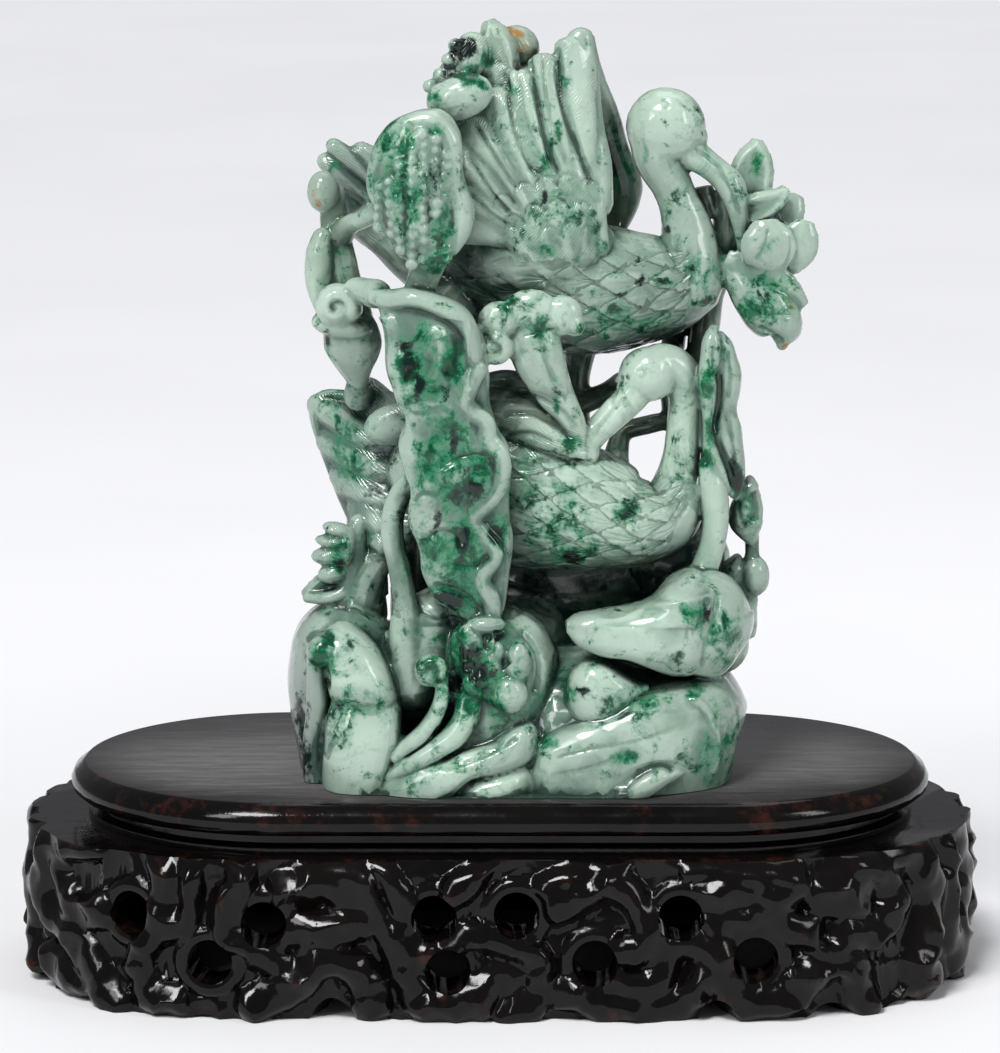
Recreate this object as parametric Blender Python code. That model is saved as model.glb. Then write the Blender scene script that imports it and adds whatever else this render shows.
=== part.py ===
"""A jade carving of two storks among lotus plants, standing on an oval carved wooden stand.

X runs to the viewer's right, Y away from the viewer and Z up. The origin is on the ground under the
middle of the stand. All sizes in this file are in millimetres, and MM turns them into Blender's metres.
"""

import math

import bmesh
import bpy
import numpy as np

MM = 0.001

# The stand: an oval board with a moulded edge, over a pierced and carved skirt that reaches out beyond it.
STAND_HEIGHT = 66.0
BOARD_LENGTH = 262.0
BOARD_DEPTH = 121.0
BOARD_END = 66.0
SKIRT_BEYOND_ENDS = 14.0
SKIRT_BEYOND_FRONT = 5.0
SKIRT_END = 67.0
SKIRT_HEIGHT = 49.5
SKIRT_WALL = 11.0
SKIRT_FLARE = 2.5
TOP_PLATE = 7.5
HOLE_RADIUS = 7.0
RIM_RISE = 2.5
RIM_WIDTH = 3.0
SKIRT_LENGTH = BOARD_LENGTH + 2 * SKIRT_BEYOND_ENDS
SKIRT_DEPTH = BOARD_DEPTH + 2 * SKIRT_BEYOND_FRONT

# The skirt's carving is written for a skirt this long round and this tall, and it stretches with the skirt.
DRAWN_GIRTH = 728.3
DRAWN_SKIRT_HEIGHT = 49.5

# The carving keeps its proportions: its points are written for a carving of DRAWN_HEIGHT.
CARVING_HEIGHT = 236.0
DRAWN_HEIGHT = 236.0
SEAT_GAP = 0.3

# A feather's half width as a share of the spacing, and its tip's share of that.
FEATHER_SPREAD = 0.58
FEATHER_TIP = 0.8
WING_SPREAD = 0.6

# How fine the solids are.
JADE_VOXEL = 1.5
JADE_TRIANGLES = 6450
ROUNDING_PASSES = 2
WOOD_TRIANGLES = 1580
SKIRT_STATIONS = 240
SKIRT_ROWS = 16
BOARD_END_STEPS = 13
HOLE_SIDES = 8
OVAL_STEPS = 181
FOOT_CUT = 1.0
CUTTER_REACH = 20.0
PIN_REACH = 12.0

TOWARDS_VIEWER = np.array([0.0, -1.0, 0.0])
DEPTH = np.array([0.0, 1.0, 0.0])
UP = np.array([0.0, 0.0, 1.0])


def unit(rows):
    """The same directions, each one long."""
    rows = np.asarray(rows, float)
    return rows / np.maximum(np.linalg.norm(rows, axis=-1, keepdims=True), 1e-9)


def spline(rows, steps=6):
    """A smooth curve through rows of numbers. Columns after x, y, z, such as radii, run along with it."""
    rows = np.asarray(rows, float)
    ends = np.vstack([2 * rows[0] - rows[1], rows, 2 * rows[-1] - rows[-2]])
    share = np.linspace(0, 1, steps, endpoint=False)[:, None]
    spans = []
    for a, b, c, d in zip(ends, ends[1:], ends[2:], ends[3:]):
        spans.append(
            b
            + 0.5 * (c - a) * share
            + (a - 2.5 * b + 2 * c - 0.5 * d) * share**2
            + (1.5 * (b - c) + 0.5 * (d - a)) * share**3
        )
    return np.vstack([*spans, rows[-1]])


def between(start, end, share):
    """The point at a share of the way from start to end."""
    return (1 - share) * np.asarray(start, float) + share * np.asarray(end, float)


class Clay:
    """Closed shells, in millimetres, that a voxel remesh then fuses into one solid."""

    def __init__(self):
        self.points = []
        self.faces = []

    def loft(self, rings):
        """A closed shell through rings of points, with a flat cap at each end."""
        rings = np.asarray(rings, float)
        count, sides = rings.shape[:2]
        first = len(self.points)
        self.points.extend(rings.reshape(-1, 3))
        for i in range(count - 1):
            row = first + i * sides
            for j in range(sides):
                k = (j + 1) % sides
                self.faces.append((row + j, row + k, row + sides + k, row + sides + j))
        last = first + (count - 1) * sides
        self.faces.append(tuple(range(first + sides - 1, first - 1, -1)))
        self.faces.append(tuple(range(last, last + sides)))

    def tube(self, rows, side=DEPTH, sides=14, steps=6):
        """A limb with round ends. Each row is x, y, z, radius and, if it is oval, its radius along side."""
        rows = [row if len(row) == 5 else (*row, row[3]) for row in rows]
        line = spline(rows, steps)
        centre, tangent, across, deep = skeleton(line, side)
        slim, broad = line[:, 3], line[:, 4]
        angle = np.linspace(0, 2 * math.pi, sides, endpoint=False)[None, :, None]
        cap = np.radians([80, 55, 28])

        def ring(i, lift, shrink):
            middle = centre[i] + lift * tangent[i] * min(slim[i], broad[i])
            return (
                middle
                + shrink * slim[i] * np.cos(angle) * across[i]
                + shrink * broad[i] * np.sin(angle) * deep[i]
            )[0]

        rings = [ring(0, -math.sin(a), math.cos(a)) for a in cap]
        rings += [ring(i, 0, 1) for i in range(len(line))]
        rings += [ring(-1, math.sin(a), math.cos(a)) for a in cap[::-1]]
        self.loft(rings)

    def ball(self, centre, radii, along=(1, 0, 0), facing=(0, -1, 0), rows=9, sides=14):
        """An oval ball: radii run along the first axis, across it, and towards facing."""
        first = unit(along)
        third = unit(np.asarray(facing, float) - np.dot(facing, first) * first)
        second = np.cross(third, first)
        angle = np.linspace(0, 2 * math.pi, sides, endpoint=False)[:, None]
        rings = []
        for tilt in np.linspace(-0.97, 0.97, rows) * math.pi / 2:
            around = np.cos(angle) * radii[1] * second + np.sin(angle) * radii[2] * third
            rings.append(np.asarray(centre) + math.sin(tilt) * radii[0] * first + math.cos(tilt) * around)
        self.loft(rings)

    def sheet(self, grid, thickness):
        """A plate around a grid of points, such as a leaf or a petal, with a closed rim."""
        grid = np.asarray(grid, float)
        down = np.gradient(grid, axis=0)
        over = np.gradient(grid, axis=1)
        lift = unit(np.cross(down, over)) * thickness / 2
        self.loft(np.concatenate([grid + lift, (grid - lift)[:, ::-1]], axis=1))

    def leaf(self, rows, thickness, facing=TOWARDS_VIEWER, cup=0.0, across=9, steps=6):
        """A leaf or petal along a spine, each row x, y, z and half width. Cup lifts its edges."""
        line = spline(rows, steps)
        tangent = unit(np.gradient(line[:, :3], axis=0))
        wide = unit(np.cross(tangent, facing))
        lift = np.cross(wide, tangent)
        place = np.linspace(-1, 1, across)[None, :]
        rise = cup * line[:, 3:4] * place**2
        grid = line[:, None, :3] + line[:, None, 3:4] * place[..., None] * wide[:, None]
        grid = grid + rise[..., None] * lift[:, None]
        self.sheet(grid, thickness)

    def fan(self, roots, tips, count, depth, spread=FEATHER_SPREAD, bow=(0, 0, 0), backing=0.5):
        """Long feathers from a line of roots to a line of tips, over a plate of backing times their depth."""
        share = np.linspace(0, 1, count)
        root_line = along_line(roots, share)
        tip_line = along_line(tips, share)
        root_gap = spread * np.linalg.norm(np.gradient(root_line, axis=0), axis=1)
        tip_gap = spread * np.linalg.norm(np.gradient(tip_line, axis=0), axis=1)
        for root, tip, thin, broad in zip(root_line, tip_line, root_gap, tip_gap):
            middle = between(root, tip, 0.5) + np.asarray(bow, float)
            rows = [
                (*root, thin, depth),
                (*middle, between(thin, broad, 0.55), depth),
                (*between(middle, tip, 0.7), broad, depth),
                (*tip, FEATHER_TIP * broad, FEATHER_TIP * depth),
            ]
            self.tube(rows, sides=12, steps=4)
        rise = np.array([0, 0.5, 0.97])[None, :, None]
        bend = np.array([0, 1, 0.2])[None, :, None] * np.asarray(bow, float)
        plate = root_line[:, None] * (1 - rise) + tip_line[:, None] * rise + bend
        self.sheet(plate, 2 * backing * depth)

    def slab(self, rows, sides=18, square=0.85, steps=5):
        """A rounded solid between two edges seen from the front.

        Each row is x and z of one edge, x and z of the other, and the depths of the front and the back.
        """
        line = spline(rows, steps)
        angle = np.linspace(0, 2 * math.pi, sides, endpoint=False)[:, None]
        along = np.sign(np.cos(angle)) * np.abs(np.cos(angle)) ** square
        inward = np.sign(np.sin(angle)) * np.abs(np.sin(angle)) ** square
        rings = []
        for x0, z0, x1, z1, front, back in line:
            middle = np.array([x0 + x1, front + back, z0 + z1]) / 2
            half = np.array([x1 - x0, 0, z1 - z0]) / 2
            rings.append(middle + along * half + inward * (0, (back - front) / 2, 0))
        self.loft(rings)

    def curl(self, centre, radius, turns, thickness, width, start=0.0, hand=1, axis=DEPTH, rows=30):
        """A rolled leaf edge: a band wound into a spiral about axis, which it spans by width, over a disc."""
        across = unit(np.cross(axis, UP))
        above = np.cross(across, axis)
        points = []
        for share in np.linspace(0, 1, rows):
            angle = start + hand * 2 * math.pi * turns * share
            reach = (radius - thickness) * (1 - 0.85 * share)
            place = np.asarray(centre) + reach * (math.cos(angle) * across + math.sin(angle) * above)
            points.append((*place, thickness * (1 - 0.3 * share), width * (1 - 0.25 * share)))
        self.tube(points, side=axis, sides=10, steps=1)
        self.ball(centre, (0.8 * radius, 0.8 * radius, 0.6 * width))

    def to_object(self, name, scale, height):
        """The shells as one Blender object, scaled and lifted to its place."""
        mesh = bpy.data.meshes.new(name)
        points = np.array(self.points) * scale * MM + np.array([0, 0, height * MM])
        mesh.from_pydata(points.tolist(), [], self.faces)
        shape = bmesh.new()
        shape.from_mesh(mesh)
        bmesh.ops.recalc_face_normals(shape, faces=shape.faces)
        shape.to_mesh(mesh)
        shape.free()
        obj = bpy.data.objects.new(name, mesh)
        bpy.context.scene.collection.objects.link(obj)
        return obj


def skeleton(line, side):
    """The centres of a limb, with the directions along it, across it and to its side."""
    centre = line[:, :3]
    tangent = unit(np.gradient(centre, axis=0))
    deep = np.empty_like(centre)
    last = np.asarray(side, float)
    for i, direction in enumerate(tangent):
        last = unit(last - np.dot(last, direction) * direction)
        deep[i] = last
    return centre, tangent, np.cross(deep, tangent), deep


def along_line(rows, shares):
    """Points at shares of the way along a smooth curve through rows."""
    line = spline(rows, 12)
    where = np.linspace(0, 1, len(line))
    return np.stack([np.interp(shares, where, column) for column in line.T], axis=1)


def upper_stork(clay):
    """The stork at the top, with a raised neck, a long bill bent down to the flower, and lifted wings."""
    clay.tube(
        [
            (63, -5, 158, 7, 7),
            (56, -5, 152.5, 14, 13),
            (45, -4, 150, 17.5, 16),
            (31, -4, 149.5, 20.5, 18),
            (15, -4, 150, 20.5, 18),
            (0, -4, 152, 17.5, 16),
            (-14, -3, 157.5, 12.5, 12),
            (-26, -2, 163, 8, 8),
        ],
        sides=20,
    )
    clay.tube(
        [
            (57.5, -6, 152, 12),
            (58.5, -6, 162, 9.6),
            (57.3, -6, 170.5, 7.7),
            (55.4, -6, 176.5, 6.6),
            (52.8, -6, 182.5, 6.6),
            (49.5, -6, 190, 8),
            (49, -6, 196, 9.5),
        ]
    )
    clay.ball((51, -6, 200.2), (12.4, 12.2, 11), sides=20, rows=12)
    clay.ball((60.5, -7, 197), (3.5, 4, 4.5))
    clay.tube(
        [
            (54, -7, 195, 5.6),
            (59, -8, 192, 5),
            (66, -8, 187, 4.2),
            (71, -9, 182, 4.6),
            (73.6, -9, 174, 3.3),
            (75, -9, 165.5, 2.4),
            (77, -9, 157, 2.5),
            (80.5, -9, 150.5, 1.8),
        ]
    )
    near_wing(clay)
    clay.slab(
        [
            (22, 228, 29, 228, -8, 3),
            (25, 216, 32, 215.5, -6, 8),
            (27, 203, 36, 206, -1, 14),
            (30, 190, 40.5, 191, 4, 18),
            (33, 179, 44.5, 181, 6, 20),
            (32, 170, 43.5, 174, 5, 20),
            (29, 160, 39, 165, 0, 18),
        ]
    )
    clay.slab(
        [
            (-47, 172, -30, 186, -5, 3),
            (-46, 166.9, -24.7, 176, -7, 4),
            (-41.7, 162.5, -18, 170, -9, 4),
            (-37.1, 158.2, -14, 164, -10, 4),
            (-32.8, 153.8, -10, 158, -10, 4),
            (-29.7, 150.7, -8, 152, -9, 4),
        ],
        square=0.8,
    )
    clay.fan(
        [(-10, -3, 170), (-12, -3, 165), (-15, -3, 160), (-17, -3, 156), (-19, -3, 152)],
        [(-43, 0, 191), (-50, 0, 193.5), (-54, 1, 191), (-53, 2, 185.5), (-50, 3, 179), (-44.5, 4, 172)],
        5,
        4.6,
        bow=(-1, 0, -1),
    )


def near_wing(clay):
    """The wing towards the viewer: broad feathers with blunt tips, and two rows of shorter ones over them."""
    clay.fan(
        [
            (27.6, -16, 182),
            (20.5, -18, 181.5),
            (15, -19, 181),
            (11.3, -20, 180),
            (8, -21, 178),
            (5.5, -21, 175),
            (4.3, -21, 171.5),
            (4.3, -20, 167),
        ],
        [
            (21, -11, 225.5),
            (12.6, -12, 220.5),
            (5, -13, 215.5),
            (-2.5, -15, 210),
            (-12, -16, 204.5),
            (-17, -17, 195),
            (-17.5, -18, 184),
            (-15, -19, 173),
        ],
        8,
        3.6,
        spread=WING_SPREAD,
        bow=(0.5, -1.5, 0),
        backing=0.7,
    )
    clay.tube(
        [
            (24.5, -9, 227.5, 4.2, 3.4),
            (26.2, -11, 215.5, 4, 3.8),
            (28.2, -13, 200, 4, 4.2),
            (29.8, -14, 189.5, 4.6, 5),
            (29, -14, 178, 6, 6.5),
        ]
    )
    for roots, tips in [
        (
            [(30, -17, 175), (24, -19, 175), (17, -20.5, 174), (12.5, -21, 169.5)],
            [(27, -16.5, 193.5), (18.5, -17.7, 194), (8.5, -18.7, 192), (1, -20, 183)],
        ),
        (
            [(30, -18, 164), (20, -21.4, 163.5), (10.4, -22, 161)],
            [(27.5, -18.8, 179), (14.5, -20.8, 179), (0, -21.4, 175)],
        ),
    ]:
        clay.fan(roots, tips, len(roots) + 2, 2.2, spread=1.2 * FEATHER_SPREAD, bow=(0, -0.8, 0), backing=0.8)
    clay.ball((12, -13, 161), (24, 15, 11), along=(1, 0, 0.3), sides=20)


def lotus_flower(clay):
    """The flower that the upper bill reaches, with open petals and one large petal hanging below."""
    clay.ball((80, -3, 167), (8, 9.5, 7))
    clay.ball((84.5, -9, 163.5), (7.5, 8, 6))
    for rows, thickness, cup in [
        ([(76, -3, 177, 4), (77.3, -3, 183, 6.2), (78.5, -2, 190, 5), (79.5, -2, 195.5, 0.8)], 4, 0.35),
        ([(73, -7, 173.5, 4), (80.7, -8, 175.7, 4.2), (85.6, -7, 178.2, 2.6), (88.6, -6, 181, 1)], 3.6, 0.35),
        ([(65, 0, 171, 3), (62.5, -1, 176, 4), (61.5, -1, 181, 3.6)], 4, 0.3),
        ([(84, -11, 155.5, 3), (83, -15, 161, 7.5), (82, -16, 167, 7.4), (81.5, -14, 172, 3)], 3.4, -0.3),
        ([(85, -8, 156, 3), (89.5, -10, 161, 6), (92.4, -10, 166, 6), (94, -8, 171, 2)], 3.4, -0.3),
        ([(83.4, -5, 163, 4), (87, -4, 169.5, 5.8), (90.3, -2, 174.5, 4), (92, 0, 178, 1.4)], 3.4, -0.25),
        ([(70, -9, 160, 2), (79, -12, 155.5, 4.4), (87.5, -12, 150.5, 4.6), (94, -9, 145.5, 1)], 3.6, -0.3),
    ]:
        clay.leaf(rows, thickness, cup=cup)
    clay.tube(
        [
            (71, -7, 157, 4, 4),
            (77, -9, 150.5, 7, 6),
            (83, -10, 144, 8.6, 7),
            (87.5, -10, 138, 6.5, 6),
            (87.3, -10, 133, 1.8, 2),
        ]
    )
    clay.tube(
        [
            (70, 0, 178, 3.8),
            (70, 1, 167, 4.4),
            (69, 2, 158, 5.2),
            (65, 4, 148, 5.3),
            (64, 4, 139, 5),
            (63, 4, 128, 4.8),
            (62, 5, 108, 5),
            (61, 5, 84, 6.5),
            (62, 4, 62, 8),
            (58, 2, 40, 9),
        ]
    )
    clay.tube([(58, 0, 146, 6), (55.5, 7, 138, 4.3), (54, 8, 129, 3.8), (53, -4, 127, 4)])


def seed_pod(clay):
    """The lotus seed pod, its face, where the seeds stand, towards the viewer, and its rim on the right."""
    clay.slab(
        [
            (-25, 208.5, -18, 209, -41, -34),
            (-31, 206, -14.5, 206.5, -42, -31),
            (-35.5, 202, -12, 202, -43, -29),
            (-38.5, 197, -11.5, 197, -43.5, -28),
            (-40, 190.5, -11.3, 190.5, -43.5, -28),
            (-40.3, 184.5, -9.7, 184.5, -43.5, -28),
            (-38.5, 180, -8, 180, -43.5, -28),
            (-33.5, 175, -7.7, 175, -43.5, -28),
            (-29.6, 169.5, -10.3, 169.5, -43, -28),
            (-27.2, 164, -13.9, 164, -42, -28),
            (-25, 160.5, -18.5, 160.5, -40, -29),
        ],
        sides=22,
        square=0.8,
    )
    clay.tube(
        [
            (-28, -39.6, 204.6, 3, 3.2),
            (-20.5, -40.5, 204.8, 3.8, 3.4),
            (-16, -41, 200.5, 3.8, 3.4),
            (-14.8, -41, 194, 3.6, 3.4),
            (-14.8, -41, 187.5, 3.6, 3.4),
            (-12.4, -41, 180.5, 3.8, 3.4),
            (-12, -41, 174, 3.8, 3.4),
            (-15, -40.5, 167.5, 3.2, 3),
        ],
        sides=10,
    )
    clay.ball((-26.5, -41.5, 184), (10.5, 21, 4.2), rows=11, sides=18)
    clay.tube([(-49, -14, 168, 4.4), (-45.5, -18, 171.5, 3.4), (-41, -24, 174, 3), (-34, -31, 179, 3.8)])
    clay.tube([(-21.5, -34, 163, 6), (-23.5, -33, 156, 4.8), (-27, -34, 147, 5)])


def top_cluster(clay):
    """The rolled leaf, the seed head seen from its edge and the small petals at the top left."""
    clay.ball((-12.3, -22, 211), (10.5, 7.2, 7), along=(1, 0, 0.28))
    clay.tube([(-17, -14, 214, 4), (-11, -13, 220, 6), (-8.5, -13, 225, 5)])
    for x, z in [(-13.5, 226), (-15.6, 221.5), (-18.2, 217), (-21.3, 213.5)]:
        clay.ball((x, -16, z), (2.5,) * 3, rows=5, sides=8)
    clay.leaf(
        [
            (0, -8, 212, 4),
            (-0.5, -9, 220, 5.5),
            (-1.5, -8, 227, 4.6),
            (-3.7, -7, 233, 0.8),
        ], 6, cup=0.3,
    )
    clay.ball((5, -1, 224), (7, 7.5, 6), along=(0.5, 0, 1))
    clay.tube([(0, -7, 216, 7), (1, -5, 200, 7), (6, -2, 180, 8), (10, -2, 165, 9)])


def left_stems(clay):
    """The knobbed stem on the left, with the leaf that curls over at the top of the draped one."""
    clay.tube(
        [
            (-45, -16, 142, 6),
            (-47, -15, 151, 5.2),
            (-49.5, -13, 162, 4.7),
            (-51, -12, 172, 4.5),
            (-51, -11, 180, 3.6),
        ]
    )
    clay.ball((-54.3, -14, 181), (5, 6.6, 5))
    clay.tube([(-54.6, -16, 167, 3.4), (-55.6, -17, 161, 4.4), (-55.4, -17, 153, 4.4), (-52, -18, 146, 5)])
    clay.curl((-50, -27, 147.5), 8.3, 1.3, 3.4, 6, start=math.radians(-10), hand=1)
    clay.tube([(-43, -27, 153, 3.8, 6), (-38, -31, 152, 4.6, 6)])
    clay.ball((-48.5, -22, 141), (9.6, 4.4, 6.4), along=(1, 0, -0.15))
    clay.tube(
        [
            (-46, -19, 139, 8.6, 6.4),
            (-45, -18, 133.5, 9, 6.4),
            (-44.6, -15, 128, 6.4, 6),
            (-44, -12, 122.5, 3.9, 4.4),
            (-44, -5, 116, 5),
        ]
    )


def draped_leaf(clay):
    """The large lotus leaf hanging down the middle, puckered, with a double waved edge on its right."""
    edge = [
        (-7, 131),
        (-9, 127),
        (-10.8, 121.5),
        (-8.8, 117.5),
        (-5, 114.5),
        (-4, 109.5),
        (0, 103),
        (-1.5, 93.5),
        (-8.5, 85),
        (-6, 80),
        (-2, 74),
        (-6, 66),
        (-3, 58.5),
        (-3, 50.5),
    ]
    clay.slab(
        [
            (-37, 150, -35, 152.5, -39, -31),
            (-35, 140, -19, 149.5, -43, -32),
            (-34.7, 129.5, -8, 139, -45, -34),
            (-31, 120.5, -8, 128, -46, -35),
            (-29, 115.5, -10, 121, -46, -35),
            (-31, 107, -5, 113, -46, -35),
            (-29, 99, 0, 103, -46, -36),
            (-27.3, 93, -1, 94, -47, -36),
            (-28, 83, -7, 85, -47, -36),
            (-25, 75, -3, 76, -47, -36),
            (-24, 67, -5, 67, -46, -36),
            (-19.5, 59, -3, 58, -45, -36),
            (-7, 50, -3, 50, -43, -38),
        ],
        sides=22,
        square=0.5,
    )
    clay.tube([(x + 0.6, -44.7, z, 2.8, 2.3) for x, z in edge], sides=12, steps=4)
    clay.slab(
        [
            (-20, 146, -18, 150, -43, -33),
            (-10, 139, -6.5, 142.5, -42, -32),
            (-12, 129.5, -3.4, 130, -44, -32),
            (-12, 121, -3, 121, -44, -32),
            (-9, 113, -0.5, 112, -44, -32),
            (-6, 104, 3, 105, -44, -33),
            (-8, 92, 3, 91, -44.5, -34),
            (-11, 84, 3, 84, -44.5, -34),
            (-8, 76, 4, 77, -44.5, -34),
            (-8, 66, 3, 67, -44, -34),
            (-6, 57, 1.5, 56, -43.5, -35),
            (-4, 51, -1.5, 50.5, -42, -38),
        ]
    )
    clay.slab(
        [
            (-40, 149.5, -40, 154, -38, -30),
            (-34, 148, -33.5, 154, -42, -32),
            (-27, 149, -26.5, 155, -45, -33),
            (-19, 146.5, -17, 152.5, -46.5, -33),
            (-13, 142, -9.5, 148, -47, -33),
            (-10.5, 136, -5.5, 139, -47, -34),
            (-9.5, 130, -5, 131, -46, -35),
        ],
        square=0.8,
    )
    for x, z, wide, high in [
        (-20, 122, 10, 8),
        (-17, 106, 12, 10),
        (-18.5, 88, 9, 10),
        (-14, 71, 9, 9),
    ]:
        clay.ball((x, -42, z), (wide, high, 4.6))
    clay.tube(
        [
            (-27, -36, 95, 3),
            (-30, -33, 91, 3.6),
            (-32.7, -32, 84, 3.6),
            (-33, -31, 76, 3.6),
            (-31, -31, 67.5, 3.6),
            (-29.4, -32, 56, 4),
            (-28.5, -32, 44, 6),
            (-27, -30, 30, 9),
        ]
    )
    clay.tube([(-20, -34, 140, 8), (-20, -22, 140, 8), (-14, -10, 146, 9)])
    clay.tube([(-14, -38, 100, 10), (-12, -24, 97, 10), (-10, -12, 94, 10)])
    clay.tube([(-8, -38, 60, 7), (-8, -28, 52, 9), (-8, -20, 38, 12)])


def middle_leaf(clay):
    """The small lobed leaf in the middle, with its curl and the wedge of stem that hangs from it."""
    for x, z, wide, high in [
        (0, 143.5, 7, 6.5),
        (9.5, 146.5, 9, 7),
        (19, 145.5, 6.3, 6.3),
        (23, 142.5, 3, 3.5),
    ]:
        clay.ball((x, -32, z), (wide, high, 4.5))
    clay.curl((-1.5, -34, 135.3), 6.3, 1.25, 2.7, 4.5, start=math.radians(80), hand=-1)
    clay.tube(
        [
            (9, -31, 140, 9, 4.5),
            (12.5, -31, 130, 7.6, 4.5),
            (16.5, -30, 121.5, 6, 4.3),
            (21, -29, 114.5, 4.2, 4),
            (24, -27, 108, 3.6, 3.8),
            (27, -25, 102, 3.8, 4),
        ]
    )
    clay.tube([(10, -30, 142, 7), (10, -18, 142, 7)])


def lower_stork(clay):
    """The lower stork, its neck bent round so that the bill lies on its own back, with a folded wing."""
    clay.tube(
        [
            (58, -18, 88, 7, 7),
            (52, -18, 81.5, 11.5, 12),
            (43, -18, 79, 14, 15),
            (33, -17, 81, 18, 17),
            (20, -16, 84, 21, 19),
            (6, -14, 87, 23, 19),
            (-8, -12, 91, 22, 17),
            (-22, -10, 95, 18, 13),
        ],
        sides=20,
    )
    clay.tube(
        [
            (54, -18, 86, 9),
            (55.3, -18, 94, 6.8),
            (56.4, -18, 102, 5.8),
            (57, -18, 111, 5.4),
            (57.2, -18, 118.5, 5.5),
            (55, -18, 125.5, 6.4),
            (50, -19, 128, 7),
            (46, -20, 126, 8),
        ]
    )
    clay.ball((45.8, -20, 125.5), (9.4, 8.8, 8.6), along=(1, 0, 0.4), sides=18, rows=12)
    clay.tube(
        [
            (42, -21, 121.5, 6),
            (39.6, -22, 117.8, 5.2),
            (34.3, -23, 112.5, 4.6),
            (29.5, -24, 107.8, 4.3),
            (26, -25, 103, 4),
        ]
    )
    clay.tube(
        [
            (-8, -16, 112, 9, 9),
            (4, -20, 112, 9, 8),
            (14, -25, 108, 6.5, 6),
            (21, -28, 104.5, 4, 4),
            (25.5, -29, 102, 1.5, 2),
        ]
    )
    clay.tube([(-8, -14, 116, 8), (2, -14, 121, 5), (8, -18, 121, 4)])
    clay.fan(
        [
            (-22, -8, 112),
            (-22, -10, 104),
            (-22, -12, 97),
            (-23, -13, 91),
            (-24, -14, 85),
            (-26, -15, 80),
            (-28, -15, 76),
            (-30, -15, 73),
        ],
        [
            (-44, 4, 114.5),
            (-55.5, 7, 113.5),
            (-57, 7, 109),
            (-54.5, 5, 102.5),
            (-52, 3, 96.5),
            (-49, 0, 90),
            (-45.5, -4, 84),
            (-42, -7, 79),
            (-38.5, -9, 75.5),
        ],
        6,
        4.6,
        bow=(-1, -3, -3),
    )
    clay.tube(
        [
            (-46, 4, 114.5, 2, 2.4),
            (-55, 6, 114, 2.2, 2.6),
            (-58, 6, 109, 2.2, 2.8),
            (-54.5, 5, 98, 2.4, 3),
            (-50, 2, 87, 2.6, 3.2),
            (-45, -3, 77, 2.8, 3.4),
            (-40, -7, 70, 3, 3.4),
        ],
        sides=10,
    )
    clay.ball((-33, -16, 109), (9.5, 6.5, 4.5), along=(1, 0, 0.25))


def right_leaf(clay):
    """The folded leaf on the right, with the tusk-shaped stem, the bud and the small pod below it."""
    clay.slab(
        [
            (64.6, 140.8, 67, 140.8, -22, -18),
            (62.2, 137, 67.7, 137, -25, -17),
            (61.3, 130.8, 67.7, 130.8, -27, -17),
            (60.7, 123.1, 66.9, 123.1, -28, -18),
            (61.7, 115.3, 66.3, 115.3, -27, -18),
            (62.4, 109.1, 66.1, 109.1, -27, -18),
            (62.4, 102.2, 67.7, 102.2, -27, -18),
            (64, 97.8, 69.6, 97.8, -27, -17),
            (67.1, 93.4, 71.1, 93.4, -26, -16),
            (69.6, 88.7, 72.4, 88.7, -23, -15),
            (71.2, 86.2, 72.7, 86.2, -20, -15),
        ]
    )
    clay.slab(
        [
            (66, 138.1, 68.8, 138.1, -20, -14),
            (66, 134.7, 71.6, 134.7, -22, -13),
            (65, 130, 73.2, 130, -23, -12),
            (65, 125.4, 74.5, 125.4, -23, -12),
            (65, 119.1, 74.2, 119.1, -22.5, -12),
            (65, 113.8, 73.3, 113.8, -22, -12),
            (65, 108.2, 74.6, 108.2, -22.5, -12),
            (66, 101.9, 75.3, 101.9, -23, -12),
            (68, 95.7, 76, 95.7, -22, -11),
            (69.5, 91, 76, 91, -21, -11),
            (71.1, 87.5, 75.1, 87.5, -20, -11),
            (72.4, 85, 73.9, 85, -18, -12),
        ]
    )
    clay.tube(
        [
            (64, -24, 97.5, 3),
            (65.7, -24, 90, 4.2),
            (66.7, -24, 82, 4.2),
            (65.5, -24, 72.5, 4),
            (62.4, -25, 63, 4.5),
        ]
    )
    clay.slab(
        [
            (76.7, 91.7, 78.6, 91.7, -14, -9),
            (75.3, 89.2, 80.2, 89.2, -16, -8),
            (73, 86, 81.5, 86, -17, -7),
            (71.5, 82.5, 82.4, 82.5, -17.5, -7),
            (71, 79, 82.2, 79, -17.5, -7),
            (71.6, 75.9, 81.6, 75.9, -17, -7),
            (74.1, 73, 80.4, 73, -16, -8),
            (77, 70.4, 79.6, 70.4, -14, -9),
        ],
        sides=18,
    )
    clay.tube([(78, -11, 76, 3), (78.6, -11, 70, 2.3), (78.6, -12, 62, 2.6)])
    clay.ball((79.5, -12, 60.3), (4.8, 6.6, 5.2))
    clay.slab(
        [
            (73.4, 66.2, 75.3, 66.2, -12, -5),
            (69.4, 63, 76.6, 63, -15, -3),
            (67.6, 58.5, 76.6, 58.5, -16, -3),
            (69.5, 54.7, 78.6, 54.7, -16, -3),
            (72, 50.5, 80.4, 50.5, -16, -3),
            (75, 46, 80.5, 46.3, -15, -3),
            (76, 41, 80, 41, -14, -4),
        ]
    )
    clay.tube([(76, -10, 52, 5), (71, -8, 50, 7), (66, -6, 40, 8)])
    clay.tube([(68, -16, 106, 4), (65, -6, 106, 4.5), (62, 4, 104, 4.5)])


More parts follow.
